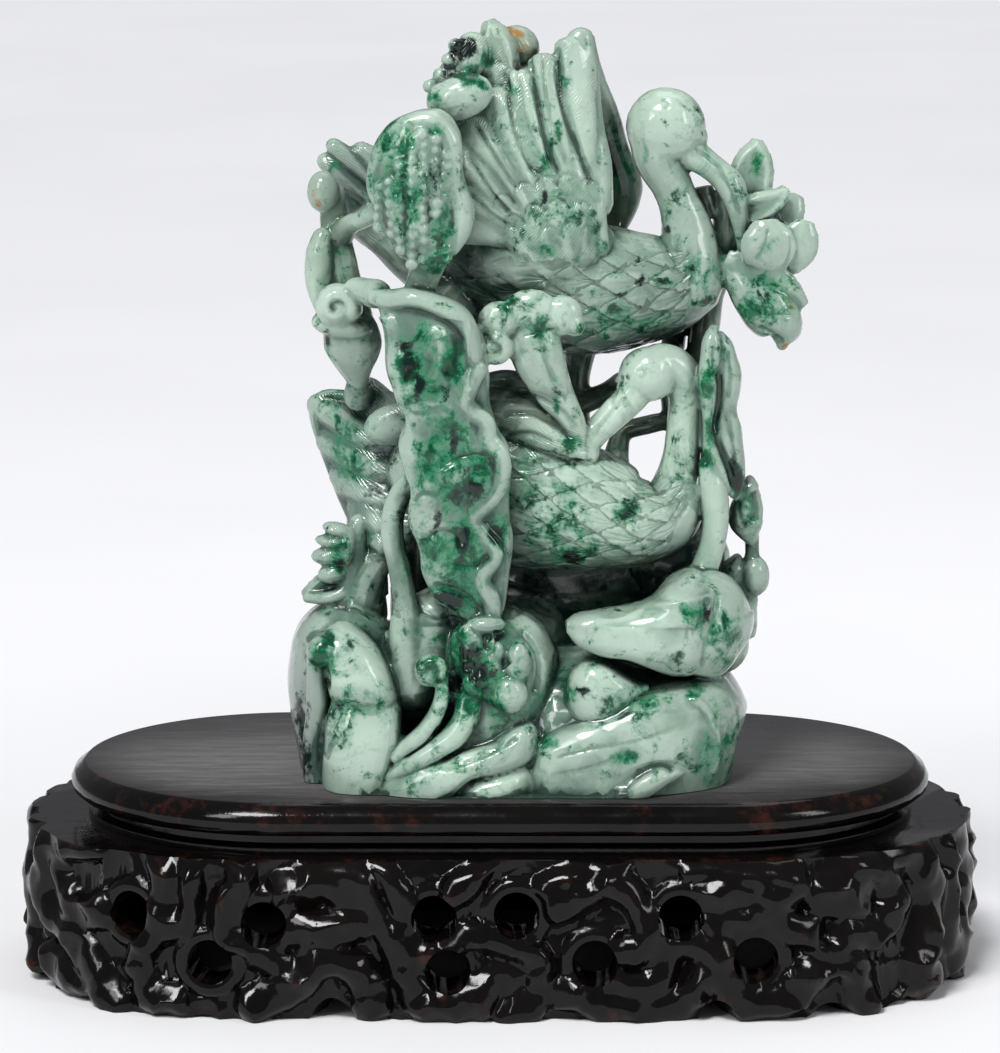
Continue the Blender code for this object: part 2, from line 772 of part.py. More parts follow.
def rocks(clay):
    """The boulders, rolled leaves and lobes that the plants and both birds rise from."""
    clay.slab(
        [
            (-50, 53.5, -47, 53.5, -14, -6),
            (-59, 49, -40, 49, -26, 4),
            (-64, 43, -34, 43, -30, 10),
            (-66, 33, -30, 34, -32, 14),
            (-66, 20, -28, 20, -32, 16),
            (-64, 8, -28, 8, -33, 16),
            (-61, -4, -28, -4, -33, 15),
        ],
        sides=24,
        square=0.75,
    )
    clay.slab(
        [
            (-50, 50.5, -47, 50.5, -37, -30),
            (-53.5, 47.8, -43, 47.8, -43, -22),
            (-55, 43.5, -38.5, 43.5, -46.5, -20),
            (-54, 38.5, -35, 38.5, -48.5, -20),
            (-53, 33, -32.5, 33, -50, -20),
            (-52, 28.6, -31, 29, -49.2, -20),
            (-51.5, 26, -30.6, 26.8, -48, -20),
            (-52.6, 23, -30, 24, -49.2, -20),
            (-54, 19, -29.6, 20, -50.6, -20),
            (-54.8, 14, -29.5, 15, -51.5, -20),
            (-55.2, 7, -31.5, 7, -52, -20),
            (-54.5, -4, -34, -4, -51, -20),
        ],
        sides=24,
        square=0.7,
    )
    clay.ball((-54.6, -43, 43), (4.2, 4.6, 4))
    clay.tube([(-56, -36, 38, 3), (-56.5, -36, 24, 3.4), (-57.5, -34, 8, 3.6), (-57, -33, -4, 3.6)])
    clay.slab(
        [
            (-10, 56, 2, 54, -36, -22),
            (-14, 52, 9, 51, -41, -10),
            (-17, 46, 14, 46, -44, -5),
            (-18, 38, 17.8, 38, -46, -4),
            (-18, 29, 18.2, 29, -47, -4),
            (-20, 19, 15, 20, -48, -4),
            (-24, 8, 12, 10, -49, -4),
            (-26, -4, 10, -4, -49, -4),
        ],
        sides=24,
        square=0.8,
    )
    for centre, radii, along in [
        ((-34, 14, 14), (26, 30, 26), (1, 0, 0)),
        ((-14, 24, 22), (22, 28, 24), (1, 0.3, 0.2)),
        ((2, 6, 22), (26, 30, 34), (1, 0, 0)),
        ((22, 26, 16), (26, 27, 24), (1, -0.4, 0)),
        ((34, 14, 28), (24, 24, 24), (1, 0, 0.4)),
        ((52, 12, 12), (20, 26, 24), (1, 0, 0)),
        ((26, -18, 14), (34, 30, 26), (1, 0, 0)),
        ((-50, 6, 24), (13, 20, 14), (0.2, 0, 1)),
        ((8, 32, 36), (12, 15, 11), (1, 0, -0.4)),
        ((26, 12, 56), (32, 14, 20), (1, 0, 0.1)),
        ((56, 4, 62), (16, 13, 17), (0.4, 0, 1)),
        ((-24, -24, 38), (22, 14, 13), (0.3, 0, 1)),
    ]:
        clay.ball(centre, (radii[0], radii[2], radii[1]), along=along, rows=11, sides=22)
    clay.slab(
        [
            (20.2, 49, 20.2, 52.5, -46, -38),
            (23.8, 44.5, 23.8, 54.2, -49, -32),
            (31, 41.3, 31, 55, -50, -28),
            (39, 40, 39, 56, -50, -24),
            (47, 37, 46.5, 58, -50.5, -20),
            (53, 34.8, 52.5, 63.5, -50.5, -14),
            (58.8, 34.3, 58.5, 66.5, -49.5, -12),
            (64, 37, 63.6, 65, -45, -14),
        ],
        sides=22,
        square=0.7,
    )
    clay.slab(
        [
            (54, 36, 55, 61, -47, -14),
            (61, 33, 62, 65.5, -47, -13),
            (66.5, 32, 68.5, 64.5, -44.5, -12),
            (71.5, 35, 73.6, 60.5, -40, -13),
            (75.5, 40.5, 77, 54.5, -33, -15),
            (77.5, 45, 78, 50, -27, -18),
        ],
        sides=20,
        square=0.8,
    )
    clay.tube([(34, -26, 44, 6), (44, -24, 44, 10), (60, -18, 46, 12), (68, -14, 40, 10)])
    clay.slab(
        [
            (20.5, 26, 20.5, 33, -45, -38),
            (23.4, 21.6, 23.2, 37.5, -48.5, -34),
            (28, 19.8, 27.6, 40.6, -50, -32),
            (33, 21.4, 33, 39.5, -50, -32),
            (38, 25, 38, 36, -48.5, -32),
            (42.5, 29, 42.5, 32.6, -45.5, -34),
            (45.4, 31, 45.4, 32, -43, -38),
        ],
        sides=18,
        square=0.85,
    )
    clay.slab(
        [
            (0, -11, 0, 8, -42, -24),
            (4, -13, 4, 12, -46, -20),
            (9.5, -13, 10, 14, -49, -20),
            (13.8, -13, 14, 18.5, -52.5, -20),
            (23, -13, 23, 22.5, -54, -18),
            (33.6, -13, 33.6, 26, -54, -14),
            (44.4, -13, 44.4, 30.5, -53, -10),
            (58, -13, 58, 33, -49, -6),
            (66, -12, 68, 33.5, -44, -2),
            (70.4, -6, 74, 26, -37, -2),
            (72, 0, 77, 20, -29, -8),
        ],
        sides=24,
        square=0.62,
    )
    clay.tube([(36, -52, -1, 4, 4), (43, -53, 3, 4.2, 4), (50, -51, 6, 3, 3.4), (54, -48, 6, 1.6, 3)])
    rolled_leaf(clay)
    small_flower(clay)


def rolled_leaf(clay):
    """The dark curled leaf at the foot, its two bands and the light folds below them."""
    clay.slab(
        [
            (-9, 54, -1, 54, -42, -34),
            (-14, 50.5, 3.5, 50.5, -45, -34),
            (-15.8, 46, 7, 46, -47.5, -34),
            (-15.4, 41.5, 8.4, 41.5, -48.5, -34),
            (-14.6, 37, 8.6, 37, -49, -34),
            (-12, 33, 8, 33, -49, -35),
            (-7, 29.5, 6.8, 29, -48.5, -36),
            (-3, 26.4, 4.5, 25.8, -47, -38),
        ],
        sides=22,
        square=0.8,
    )
    for x, y, z, wide, high, deep in [
        (-9.5, -47, 46, 4.6, 6.5, 3.6),
        (-4, -46, 52, 6, 3, 4),
        (6, -47.5, 41, 4, 7, 4),
        (3.6, -48.5, 31, 5, 5.4, 4),
        (-8, -48, 34, 4.5, 4.5, 3.6),
        (-1.5, -48, 43, 3, 6, 3),
    ]:
        clay.ball((x, y, z), (wide, high, deep))
    clay.curl((-21.5, -47, 38), 6.4, 1.2, 2.6, 4, start=math.radians(-20), hand=1)
    clay.slab(
        [
            (-20, 36, -14.6, 36.5, -49, -41),
            (-19.8, 31.5, -14.2, 32.5, -50.5, -40),
            (-20.8, 27, -15.4, 27.5, -51.5, -40),
            (-22.6, 23.2, -18, 22, -52, -40),
            (-26, 19.2, -22, 16.4, -52, -40),
            (-30, 16, -27.6, 12.4, -51.5, -40),
            (-33.5, 11.8, -31.6, 8.6, -50, -40),
        ],
        sides=16,
        square=0.8,
    )
    clay.slab(
        [
            (-14.2, 32, -5, 31, -49, -40),
            (-14.2, 28, -6, 26, -51, -40),
            (-15, 24, -7.2, 21.5, -53, -40),
            (-18.2, 19.2, -11.5, 15.8, -54, -40),
            (-24.4, 14.4, -18.4, 11.4, -54, -40),
            (-30.8, 9.8, -27, 6.6, -53, -40),
            (-35.5, 5.6, -34, 2.6, -50, -40),
        ],
        sides=16,
        square=0.8,
    )
    clay.slab(
        [
            (-37.6, -4, -37.4, 1.6, -48, -42),
            (-35.6, -6, -35, 4.6, -51, -40),
            (-30, -9, -29, 7, -54, -38),
            (-24.5, -9, -25, 9, -55, -38),
            (-15.5, -2, -17, 10.6, -56, -38),
            (-9.2, 4.6, -10.7, 13, -56, -38),
            (-2.4, 5.6, -3.2, 16, -55.5, -38),
            (4, 7, 3.8, 20, -54.5, -38),
            (8.8, 9, 9.6, 21.6, -52, -40),
            (11.6, 12, 12, 19, -48, -42),
        ],
        sides=20,
        square=0.75,
    )
    clay.slab(
        [
            (-19, -9, -18.4, -3.4, -49, -42),
            (-15, -9, -14, 1.5, -51.5, -40),
            (-8, -9, -7, 5, -54, -38),
            (1, -9, 1.5, 7.4, -54.5, -38),
            (6, -7, 7.4, 8.6, -52, -38),
            (9.6, -3, 10.4, 6, -48, -40),
        ],
        sides=18,
        square=0.75,
    )


def small_flower(clay):
    """The small layered flower beside the left boulder, with its stalk and leaf."""
    for x, z, wide, high, lean in [
        (-50.5, 76, 5, 2.2, 0.25),
        (-51.6, 72, 6, 2.2, 0.15),
        (-52.6, 67.5, 6.2, 3, 0),
        (-51.8, 62, 5, 3.4, -0.2),
        (-47.6, 70, 3, 7, 0.1),
    ]:
        clay.ball((x, -16, z), (wide, high, 4.6), along=(1, 0, -lean), rows=8, sides=12)
    clay.tube([(-44, -13, 77, 3), (-45.5, -14, 68, 4), (-47, -14, 56, 5)])
    clay.leaf([(-46, -13, 59, 4), (-54, -13, 57, 4.2), (-61.5, -12, 53.5, 1.2)], 4, cup=0.3)
    clay.tube([(-44, -16, 58, 2.4), (-52, -17, 54.5, 2.6), (-60, -15, 54, 1.6)])
    clay.tube([(-34, -12, 70, 4), (-41, -13, 61, 6), (-46, -12, 48, 9)])


def back_growth(clay):
    """The plain stems and leaf behind, which carry both birds where the front doesn't show them."""
    clay.tube([(-24, 14, 38, 10), (-24, 10, 70, 9), (-20, 6, 96, 9), (-14, 6, 120, 8), (-8, 4, 148, 9)])
    clay.tube([(18, 14, 42, 10), (20, 10, 64, 9), (22, 0, 78, 9)])
    clay.tube([(22, -2, 96, 5), (24.5, 5, 106, 4), (24.2, 5, 120, 4), (26, 2, 136, 6)])
    clay.tube([(25, 4, 112, 4), (33, 3, 115.5, 3.5), (38, -4, 120, 3.6), (41, -14, 122, 4)])
    clay.tube(
        [
            (50, -8, 124, 3.4),
            (52, 3, 118, 2.8),
            (53, 4, 108, 2.8),
            (47, 4, 105.5, 3),
            (39, 4, 103, 3.2),
            (36.5, 0, 97, 4),
            (36, -6, 92, 5),
        ]
    )
    clay.tube([(53, 4, 106, 3), (62, 5, 106, 4)])
    clay.slab(
        [
            (-18, 118, -10, 118, 8, 16),
            (-26, 108, 2, 106, 12, 20),
            (-26, 94, 12, 92, 16, 23),
            (-22, 78, 16, 76, 18, 25),
            (-14, 60, 14, 58, 18, 27),
            (-6, 44, 8, 44, 18, 30),
        ]
    )
    clay.tube([(-8, 20, 84, 6), (-8, 4, 86, 9)])
    clay.tube([(-34, -2, 96, 8), (-40, -2, 84, 7), (-42, -2, 66, 7), (-44, 0, 46, 9)])


def jade_clay():
    """Every form of the carving, which stays one piece of stone."""
    clay = Clay()
    for form in (
        upper_stork,
        lotus_flower,
        seed_pod,
        top_cluster,
        left_stems,
        draped_leaf,
        middle_leaf,
        lower_stork,
        right_leaf,
        rocks,
        back_growth,
    ):
        form(clay)
    return clay


def modifier(obj, kind, **settings):
    """Adds one modifier, with its render settings as in the viewport."""
    made = obj.modifiers.new(kind.title(), kind)
    for name, value in settings.items():
        setattr(made, name, value)
    return made


def baked(obj):
    """Replaces the object's mesh by what its modifiers make of it."""
    graph = bpy.context.evaluated_depsgraph_get()
    mesh = bpy.data.meshes.new_from_object(obj.evaluated_get(graph))
    obj.modifiers.clear()
    obj.data = mesh
    return obj


def drop_inner_skins(obj):
    """Keeps the largest connected skin, so that no pocket stays sealed inside."""
    shape = bmesh.new()
    shape.from_mesh(obj.data)
    left = set(shape.verts)
    skins = []
    while left:
        seed = left.pop()
        skin = {seed}
        edge = [seed]
        while edge:
            for link in edge.pop().link_edges:
                for other in link.verts:
                    if other in left:
                        left.discard(other)
                        skin.add(other)
                        edge.append(other)
        skins.append(skin)
    skins.sort(key=len)
    for skin in skins[:-1]:
        bmesh.ops.delete(shape, geom=list(skin), context="VERTS")
    shape.to_mesh(obj.data)
    shape.free()


def triangle_count(obj):
    """How many triangles the object's mesh holds."""
    obj.data.calc_loop_triangles()
    return len(obj.data.loop_triangles)


def thin_out(obj, triangles):
    """Fewer triangles where the surface is plain."""
    modifier(obj, "DECIMATE", ratio=min(1, triangles / triangle_count(obj)))
    return baked(obj)


def block(name, low, high):
    """A plain box in millimetres, used as a cutter."""
    bpy.ops.mesh.primitive_cube_add(size=1)
    obj = bpy.context.object
    obj.name = name
    low, high = np.array(low, float), np.array(high, float)
    for corner in obj.data.vertices:
        share = np.array(corner.co) + 0.5
        corner.co = (low + share * (high - low)) * MM
    as_cutter(obj)
    return obj


def as_cutter(obj):
    """Keeps a helper shape out of the render."""
    obj.hide_render = True
    obj.display_type = "WIRE"


def cut(obj, cutter):
    """Takes the cutter's shape away from the object."""
    modifier(obj, "BOOLEAN", operation="DIFFERENCE", solver="EXACT", object=cutter)


def material(name, colour, roughness, coat=0.0):
    """A Principled material in the piece's own colour."""
    made = bpy.data.materials.new(name)
    made.use_nodes = True
    shader = made.node_tree.nodes["Principled BSDF"]
    shader.inputs["Base Color"].default_value = (*colour, 1)
    shader.inputs["Roughness"].default_value = roughness
    shader.inputs["Coat Weight"].default_value = coat
    return made


# The skirt's carving, as half width, height, and places along the front from its middle and above the ground.
STRANDS = [
    (5.5, 5.5, [(-129, 52), (-143, 50), (-154, 44), (-156, 33), (-147, 24), (-134, 18), (-119, 3)]),
    (4.5, 4.5, [(-127, 50), (-141, 48), (-145, 38), (-136, 29), (-124, 30)]),
    (4.5, 4.5, [(-104, 50), (-102, 38), (-105, 26), (-110, 17), (-107, 8), (-98, 4)]),
    (4.0, 4.0, [(-95, 50), (-93, 38), (-97, 30), (-107, 22)]),
    (4.0, 4.0, [(-79, 50), (-79, 42), (-84, 34), (-83, 26), (-74, 20), (-64, 14)]),
    (4.5, 4.0, [(-56, 49), (-51, 42), (-45, 37)]),
    (4.5, 4.0, [(-61, 28), (-53, 28), (-44, 30)]),
    (5.0, 5.0, [(-74, 3), (-64, 10), (-58, 17), (-49, 18), (-41, 12), (-38, 3)]),
    (4.0, 4.0, [(-48, 49), (-42, 42), (-38, 31), (-33, 24), (-30, 16), (-24, 6)]),
    (4.0, 4.0, [(-36, 49), (-31, 40), (-29, 31)]),
    (4.5, 5.0, [(-4, 50), (-9, 44), (-14, 40)]),
    (4.5, 5.0, [(-31, 27), (-26, 22), (-19, 21), (-11, 26), (-3, 25), (7, 22), (13, 16), (12, 8), (4, 3)]),
    (6.0, 5.5, [(-6, 7), (-12, 6), (-20, 5)]),
    (5.0, 5.5, [(17, 35), (25, 39), (33, 41), (41, 37), (45, 29), (42, 22), (38, 21)]),
    (4.0, 4.0, [(13, 40), (22, 46), (34, 47)]),
    (4.5, 4.5, [(50, 23), (49, 14), (42, 10), (33, 11)]),
    (5.0, 5.0, [(22, 8), (31, 4), (44, 3), (55, 5), (62, 13), (63, 21), (57, 24)]),
    (4.0, 4.0, [(59, 48), (68, 49), (78, 45), (80, 36), (74, 30), (64, 30)]),
    (5.0, 5.0, [(66, 25), (69, 15), (75, 7), (85, 6), (92, 12), (101, 18), (108, 14), (113, 4)]),
    (5.0, 5.0, [(84, 49), (88, 43), (83, 35), (86, 29), (94, 26)]),
    (4.5, 4.5, [(103, 50), (117, 45), (124, 34), (118, 26), (105, 25)]),
    (5.5, 5.5, [(122, 52), (133, 46), (139, 35), (137, 24), (133, 14), (136, 5)]),
    (4.5, 4.5, [(146, 50), (150, 40), (147, 29), (150, 18), (156, 8)]),
    (5.0, 4.5, [(158, 51), (166, 42), (168, 31), (160, 22), (161, 10)]),
    (5.0, 5.0, [(176, 50), (181, 38), (176, 26), (183, 14), (194, 6)]),
    (4.5, 4.5, [(-167, 50), (-170, 38), (-163, 28), (-168, 16), (-160, 6)]),
    (4.5, 4.0, [(-150, 10), (-141, 7), (-132, 5)]),
]

# Oval bosses between the strands: middle along and up, half width, half height, rise.
BOSSES = [
    (-61, 41, 8.5, 6, 4.5),
    (68, 40, 8.5, 6.5, 4.5),
    (105, 38, 11, 8, 5),
    (-3, 12, 13, 7, 3),
]

# Middles of the round holes, along the front and above the ground.
HOLES = [(-113, 31), (-88, 18), (-72, 30), (-20, 32), (-16, 16), (5, 33), (29, 18), (55, 32), (78, 19)]

# Low arches in the skirt's bottom edge: middle, half width, rise.
ARCHES = [
    (-176, 8, 4),
    (-155, 9, 4),
    (-128, 8, 3),
    (-90, 9, 2),
    (-51, 8, 8),
    (-5, 14, 1.5),
    (40, 9, 2),
    (67, 7, 8),
    (101, 9, 5),
    (126, 8, 3),
    (150, 8, 4),
    (170, 9, 4),
]

# The board's edge from its underside to its top, as shares of its thickness, with how far it stands out.
EDGE_PROFILE = [
    (-0.1, -1.0),
    (0.04, -0.6),
    (0.12, -0.8),
    (0.18, -4.0),
    (0.32, -4.2),
    (0.40, 2.0),
    (0.52, 4.3),
    (0.68, 4.6),
    (0.84, 3.4),
    (0.93, 1.2),
    (1.0, 0.0),
]


def oval(length, depth, end, count):
    """Stations round an oval with half-ellipse ends, from the middle of its front towards +X.

    Returns each station's place, its outward direction and its distance from the start, and the whole girth.
    """
    turn = np.linspace(-math.pi / 2, math.pi / 2, OVAL_STEPS)
    right = np.column_stack([length / 2 - end + end * np.cos(turn), depth / 2 * np.sin(turn)])
    ring = np.vstack([right, -right, right[:1]])
    run = np.concatenate([[0], np.cumsum(np.linalg.norm(np.diff(ring, axis=0), axis=1))])
    girth = run[-1]
    where = np.linspace(0, girth, count, endpoint=False)

    def at(distance):
        shifted = distance - (length / 2 - end)
        return np.stack([np.interp(shifted, run, ring[:, k], period=girth) for k in (0, 1)], axis=1)

    ahead = unit(at(where + 0.5) - at(where - 0.5))
    return at(where), np.column_stack([ahead[:, 1], -ahead[:, 0]]), where, girth


def on_front(where, girth):
    """Distances on the drawn front half, because the back repeats the front turned half round."""
    half = girth / 2
    return ((where + half / 2) % half - half / 2) * DRAWN_GIRTH / girth


def carved_rise(along, up):
    """How far the skirt's carving stands out at places along it and up it."""
    spots = np.stack([along, up], axis=-1)
    rise = np.zeros(along.shape)
    for half_width, height, rows in STRANDS:
        line = spline(rows, 5)
        reach = np.full(along.shape, 1e9)
        for a, b in zip(line, line[1:]):
            step = b - a
            share = np.clip(((spots - a) @ step) / (step @ step), 0, 1)
            reach = np.minimum(reach, np.linalg.norm(spots - a - share[..., None] * step, axis=-1))
        rise = np.maximum(rise, height * np.sqrt(np.clip(1 - (reach / half_width) ** 2, 0, 1)))
    for middle, high, wide, tall, height in BOSSES:
        reach = ((along - middle) / wide) ** 2 + ((up - high) / tall) ** 2
        rise = np.maximum(rise, height * np.sqrt(np.clip(1 - reach, 0, 1)))
    for middle, high in HOLES:
        reach = np.hypot(along - middle, up - high) - HOLE_RADIUS
        rim = RIM_RISE * np.sqrt(np.clip(1 - (reach / RIM_WIDTH - 0.5) ** 2, 0, 1))
        rise = np.maximum(rise, rim)
    return rise


def foot_line(along):
    """Height of the skirt's bottom edge, which is level except at its arches."""
    rise = np.zeros(along.shape)
    for middle, half_width, height in ARCHES:
        rise = np.maximum(rise, height * np.clip(1 - ((along - middle) / half_width) ** 2, 0, 1))
    return rise


def skirt():
    """The stand's skirt, carved outside, plain and hollow inside, with a closed top."""
    place, outward, where, girth = oval(SKIRT_LENGTH, SKIRT_DEPTH, SKIRT_END, SKIRT_STATIONS)
    along = on_front(where, girth)
    bottom = foot_line(along) - FOOT_CUT
    rings = []
    for share in np.linspace(0, 1, SKIRT_ROWS):
        up = SKIRT_HEIGHT + (bottom - SKIRT_HEIGHT) * share
        edge = math.sin(math.pi * min(1, share * 4) / 2)
        out = carved_rise(along, up * DRAWN_SKIRT_HEIGHT / SKIRT_HEIGHT) * edge + SKIRT_FLARE * share
        rings.append(np.column_stack([place + out[:, None] * outward, up]))
    inner, inward, _, _ = oval(
        SKIRT_LENGTH - 2 * SKIRT_WALL, SKIRT_DEPTH - 2 * SKIRT_WALL, SKIRT_END - SKIRT_WALL, SKIRT_STATIONS
    )
    rings.append(np.column_stack([inner, bottom]))
    rings.append(np.column_stack([inner, np.full(len(inner), SKIRT_HEIGHT - TOP_PLATE)]))
    clay = Clay()
    clay.loft(rings)
    return thin_out(clay.to_object("stand", 1, 0), WOOD_TRIANGLES)


def board():
    """The oval board with its moulded edge."""
    turn = np.linspace(-math.pi / 2, math.pi / 2, BOARD_END_STEPS)
    middle = BOARD_LENGTH / 2 - BOARD_END
    arc = np.column_stack([np.cos(turn), np.sin(turn)])
    rings = []
    for share, out in EDGE_PROFILE:
        right = arc * (BOARD_END + out, BOARD_DEPTH / 2 + out) + (middle, 0)
        outline = np.vstack([right, -right])
        height = SKIRT_HEIGHT + share * (STAND_HEIGHT - SKIRT_HEIGHT)
        rings.append(np.column_stack([outline, np.full(len(outline), height)]))
    clay = Clay()
    clay.loft(rings)
    return clay.to_object("board_form", 1, 0)


def hole_cutters():
    """One mesh of round pins, one across the skirt's wall at each hole, front and back."""
    place, outward, where, _ = oval(SKIRT_LENGTH, SKIRT_DEPTH, SKIRT_END, 3 * SKIRT_STATIONS)
    clay = Clay()
    for middle, high in HOLES:
        for half_turn in (0, 0.5):
            i = round((middle / DRAWN_GIRTH + half_turn) * len(where)) % len(where)
            out = np.array([*outward[i], 0])
            start = np.array([*place[i], high * SKIRT_HEIGHT / DRAWN_SKIRT_HEIGHT])
            ends = [start - (SKIRT_WALL + PIN_REACH) * out, start + PIN_REACH * out]
            across = np.cross(out, UP)
            angle = np.linspace(0, 2 * math.pi, HOLE_SIDES, endpoint=False)[:, None]
            clay.loft([end + HOLE_RADIUS * (np.cos(angle) * across + np.sin(angle) * UP) for end in ends])
    cutter = clay.to_object("hole_pins", 1, 0)
    as_cutter(cutter)
    return cutter


def make_stand():
    """The wooden stand as one solid: skirt and board joined, holes drilled, feet cut level."""
    obj = skirt()
    top = board()
    as_cutter(top)
    modifier(obj, "BOOLEAN", operation="UNION", solver="EXACT", object=top)
    cut(obj, hole_cutters())
    reach = SKIRT_LENGTH
    cut(obj, block("floor_cutter", (-reach, -reach, -CUTTER_REACH), (reach, reach, 0)))
    finish(obj, material("black_lacquered_wood", (0.012, 0.009, 0.008), 0.22, coat=0.6), math.radians(50))
    return obj


def make_carving():
    """The jade as one solid, resting with a hair's gap on the board."""
    scale = CARVING_HEIGHT / DRAWN_HEIGHT
    seat = STAND_HEIGHT + SEAT_GAP
    obj = jade_clay().to_object("jade_carving", scale, seat)
    modifier(obj, "REMESH", mode="VOXEL", voxel_size=JADE_VOXEL * MM)
    modifier(obj, "SMOOTH", factor=0.5, iterations=ROUNDING_PASSES)
    drop_inner_skins(baked(obj))
    thin_out(obj, JADE_TRIANGLES)
    reach = SKIRT_LENGTH
    cut(obj, block("seat_cutter", (-reach, -reach, seat - 2 * CUTTER_REACH), (reach, reach, seat)))
    finish(obj, material("jade", (0.42, 0.56, 0.47), 0.16, coat=0.3), math.radians(60))
    return obj


def finish(obj, surface, sharp):
    """Gives the piece its material and smooth shading with its sharp edges kept."""
    obj.data.materials.clear()
    obj.data.materials.append(surface)
    obj.data.shade_smooth()
    obj.data.set_sharp_from_angle(angle=sharp)


for old in list(bpy.data.objects):
    bpy.data.objects.remove(old, do_unlink=True)
make_stand()
make_carving()
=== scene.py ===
"""The finish of the jade stork carving and its wooden stand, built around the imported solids.

The jade is modelled again from the same forms at a finer grain, with feathers, scales, seeds and veins
carved into it. Sizes are in millimetres, and MM turns them into metres.
"""

import math

import bmesh
import bpy
import numpy as np
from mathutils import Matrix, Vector
from mathutils.bvhtree import BVHTree


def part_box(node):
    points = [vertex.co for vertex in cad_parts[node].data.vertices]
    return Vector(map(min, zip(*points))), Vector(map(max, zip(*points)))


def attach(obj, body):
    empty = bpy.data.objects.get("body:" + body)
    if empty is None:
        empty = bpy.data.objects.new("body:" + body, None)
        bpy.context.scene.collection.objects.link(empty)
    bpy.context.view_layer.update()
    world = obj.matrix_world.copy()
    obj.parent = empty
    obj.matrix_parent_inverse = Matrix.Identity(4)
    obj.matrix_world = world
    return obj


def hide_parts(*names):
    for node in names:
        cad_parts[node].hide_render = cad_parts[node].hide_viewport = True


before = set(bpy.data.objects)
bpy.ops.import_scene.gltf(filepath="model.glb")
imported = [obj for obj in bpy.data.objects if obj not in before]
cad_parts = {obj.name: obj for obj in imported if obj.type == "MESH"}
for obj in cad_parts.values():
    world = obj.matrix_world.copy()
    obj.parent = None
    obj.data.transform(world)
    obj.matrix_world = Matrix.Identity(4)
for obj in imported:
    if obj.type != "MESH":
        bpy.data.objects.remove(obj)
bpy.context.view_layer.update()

MM = 0.001

# Where the pieces sit, read from the frame.
STAND_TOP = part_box("stand")[1][2] / MM
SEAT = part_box("jade_carving")[0][2] / MM

# The stand, as its solid is made.
BOARD_LENGTH = 262.0
BOARD_DEPTH = 121.0
BOARD_END = 66.0
SKIRT_BEYOND_ENDS = 14.0
SKIRT_BEYOND_FRONT = 5.0
SKIRT_END = 67.0
SKIRT_HEIGHT = 49.5
SKIRT_WALL = 11.0
SKIRT_FLARE = 2.5
TOP_PLATE = 7.5
HOLE_RADIUS = 7.0
RIM_RISE = 2.5
RIM_WIDTH = 3.0
SKIRT_LENGTH = BOARD_LENGTH + 2 * SKIRT_BEYOND_ENDS
SKIRT_DEPTH = BOARD_DEPTH + 2 * SKIRT_BEYOND_FRONT
DRAWN_GIRTH = 728.3
DRAWN_SKIRT_HEIGHT = 49.5

# A feather's half width as a share of the spacing, and its tip's share of that.
FEATHER_SPREAD = 0.58
FEATHER_TIP = 0.8
WING_SPREAD = 0.6

# The pod's seeds and the birds' scales.
SEED_RADIUS = 1.75
SEED_PITCH = 3.3
SEED_COLUMNS = 9
SEED_ROWS = 14
SEEDS_LEFT = -39.6
SEEDS_FOOT = 162.8
SCALE_LENGTH = 7.4
SCALE_WIDTH = 8.0
SCALE_RISE = 0.5

# How fine the meshes are.
FINE_VOXEL = 0.58
FINE_ROUNDING = 2
FINE_TRIANGLES = 190000
HOLLOW_PASSES = 25
STROKE_REACH = 9.0
STROKE_STEPS = 45
PATCH_DRIFT = 1.6
ENCLOSURE_RAYS = 14
ENCLOSURE_REACH = 28.0
RAY_START = 0.4
RAY_LEAN = 0.96
RAY_TURN = 2.4
WOOD_TRIANGLES = 70000
SKIRT_STATIONS = 1100
SKIRT_ROWS = 52
BOARD_END_STEPS = 60
HOLE_SIDES = 28
OVAL_STEPS = 721
STRAND_FOOT = 1.3
LUMPY_ENDS = 0.7
FOOT_CUT = 1.0
CUTTER_REACH = 20.0
PIN_REACH = 12.0

# The studio and the camera, which stands where the photograph was taken from.
FLOOR_SIZE = 16000.0
SKY_STRENGTH = 0.22
SUN_STRENGTH = 2.5
CAMERA_PITCH = 11.0
CAMERA_DISTANCE = 1500.0
CAMERA_AIM_HEIGHT = 140.0
CAMERA_ZOOM = 4.5385
SENSOR = 36.0

# The birds' bodies, which the forms and their scales share: x, y, z, radius, and radius along y.
UPPER_BODY = [
    (63, -5, 158, 7, 7), (56, -5, 152.5, 14, 13), (45, -4, 150, 17.5, 16), (31, -4, 149.5, 20.5, 18),
    (15, -4, 150, 20.5, 18), (0, -4, 152, 17.5, 16), (-14, -3, 157.5, 12.5, 12), (-26, -2, 163, 8, 8),
]

LOWER_BODY = [
    (58, -18, 88, 7, 7), (52, -18, 81.5, 11.5, 12), (43, -18, 79, 14, 15), (33, -17, 81, 18, 17),
    (20, -16, 84, 21, 19), (6, -14, 87, 23, 19), (-8, -12, 91, 22, 17), (-22, -10, 95, 18, 13),
]

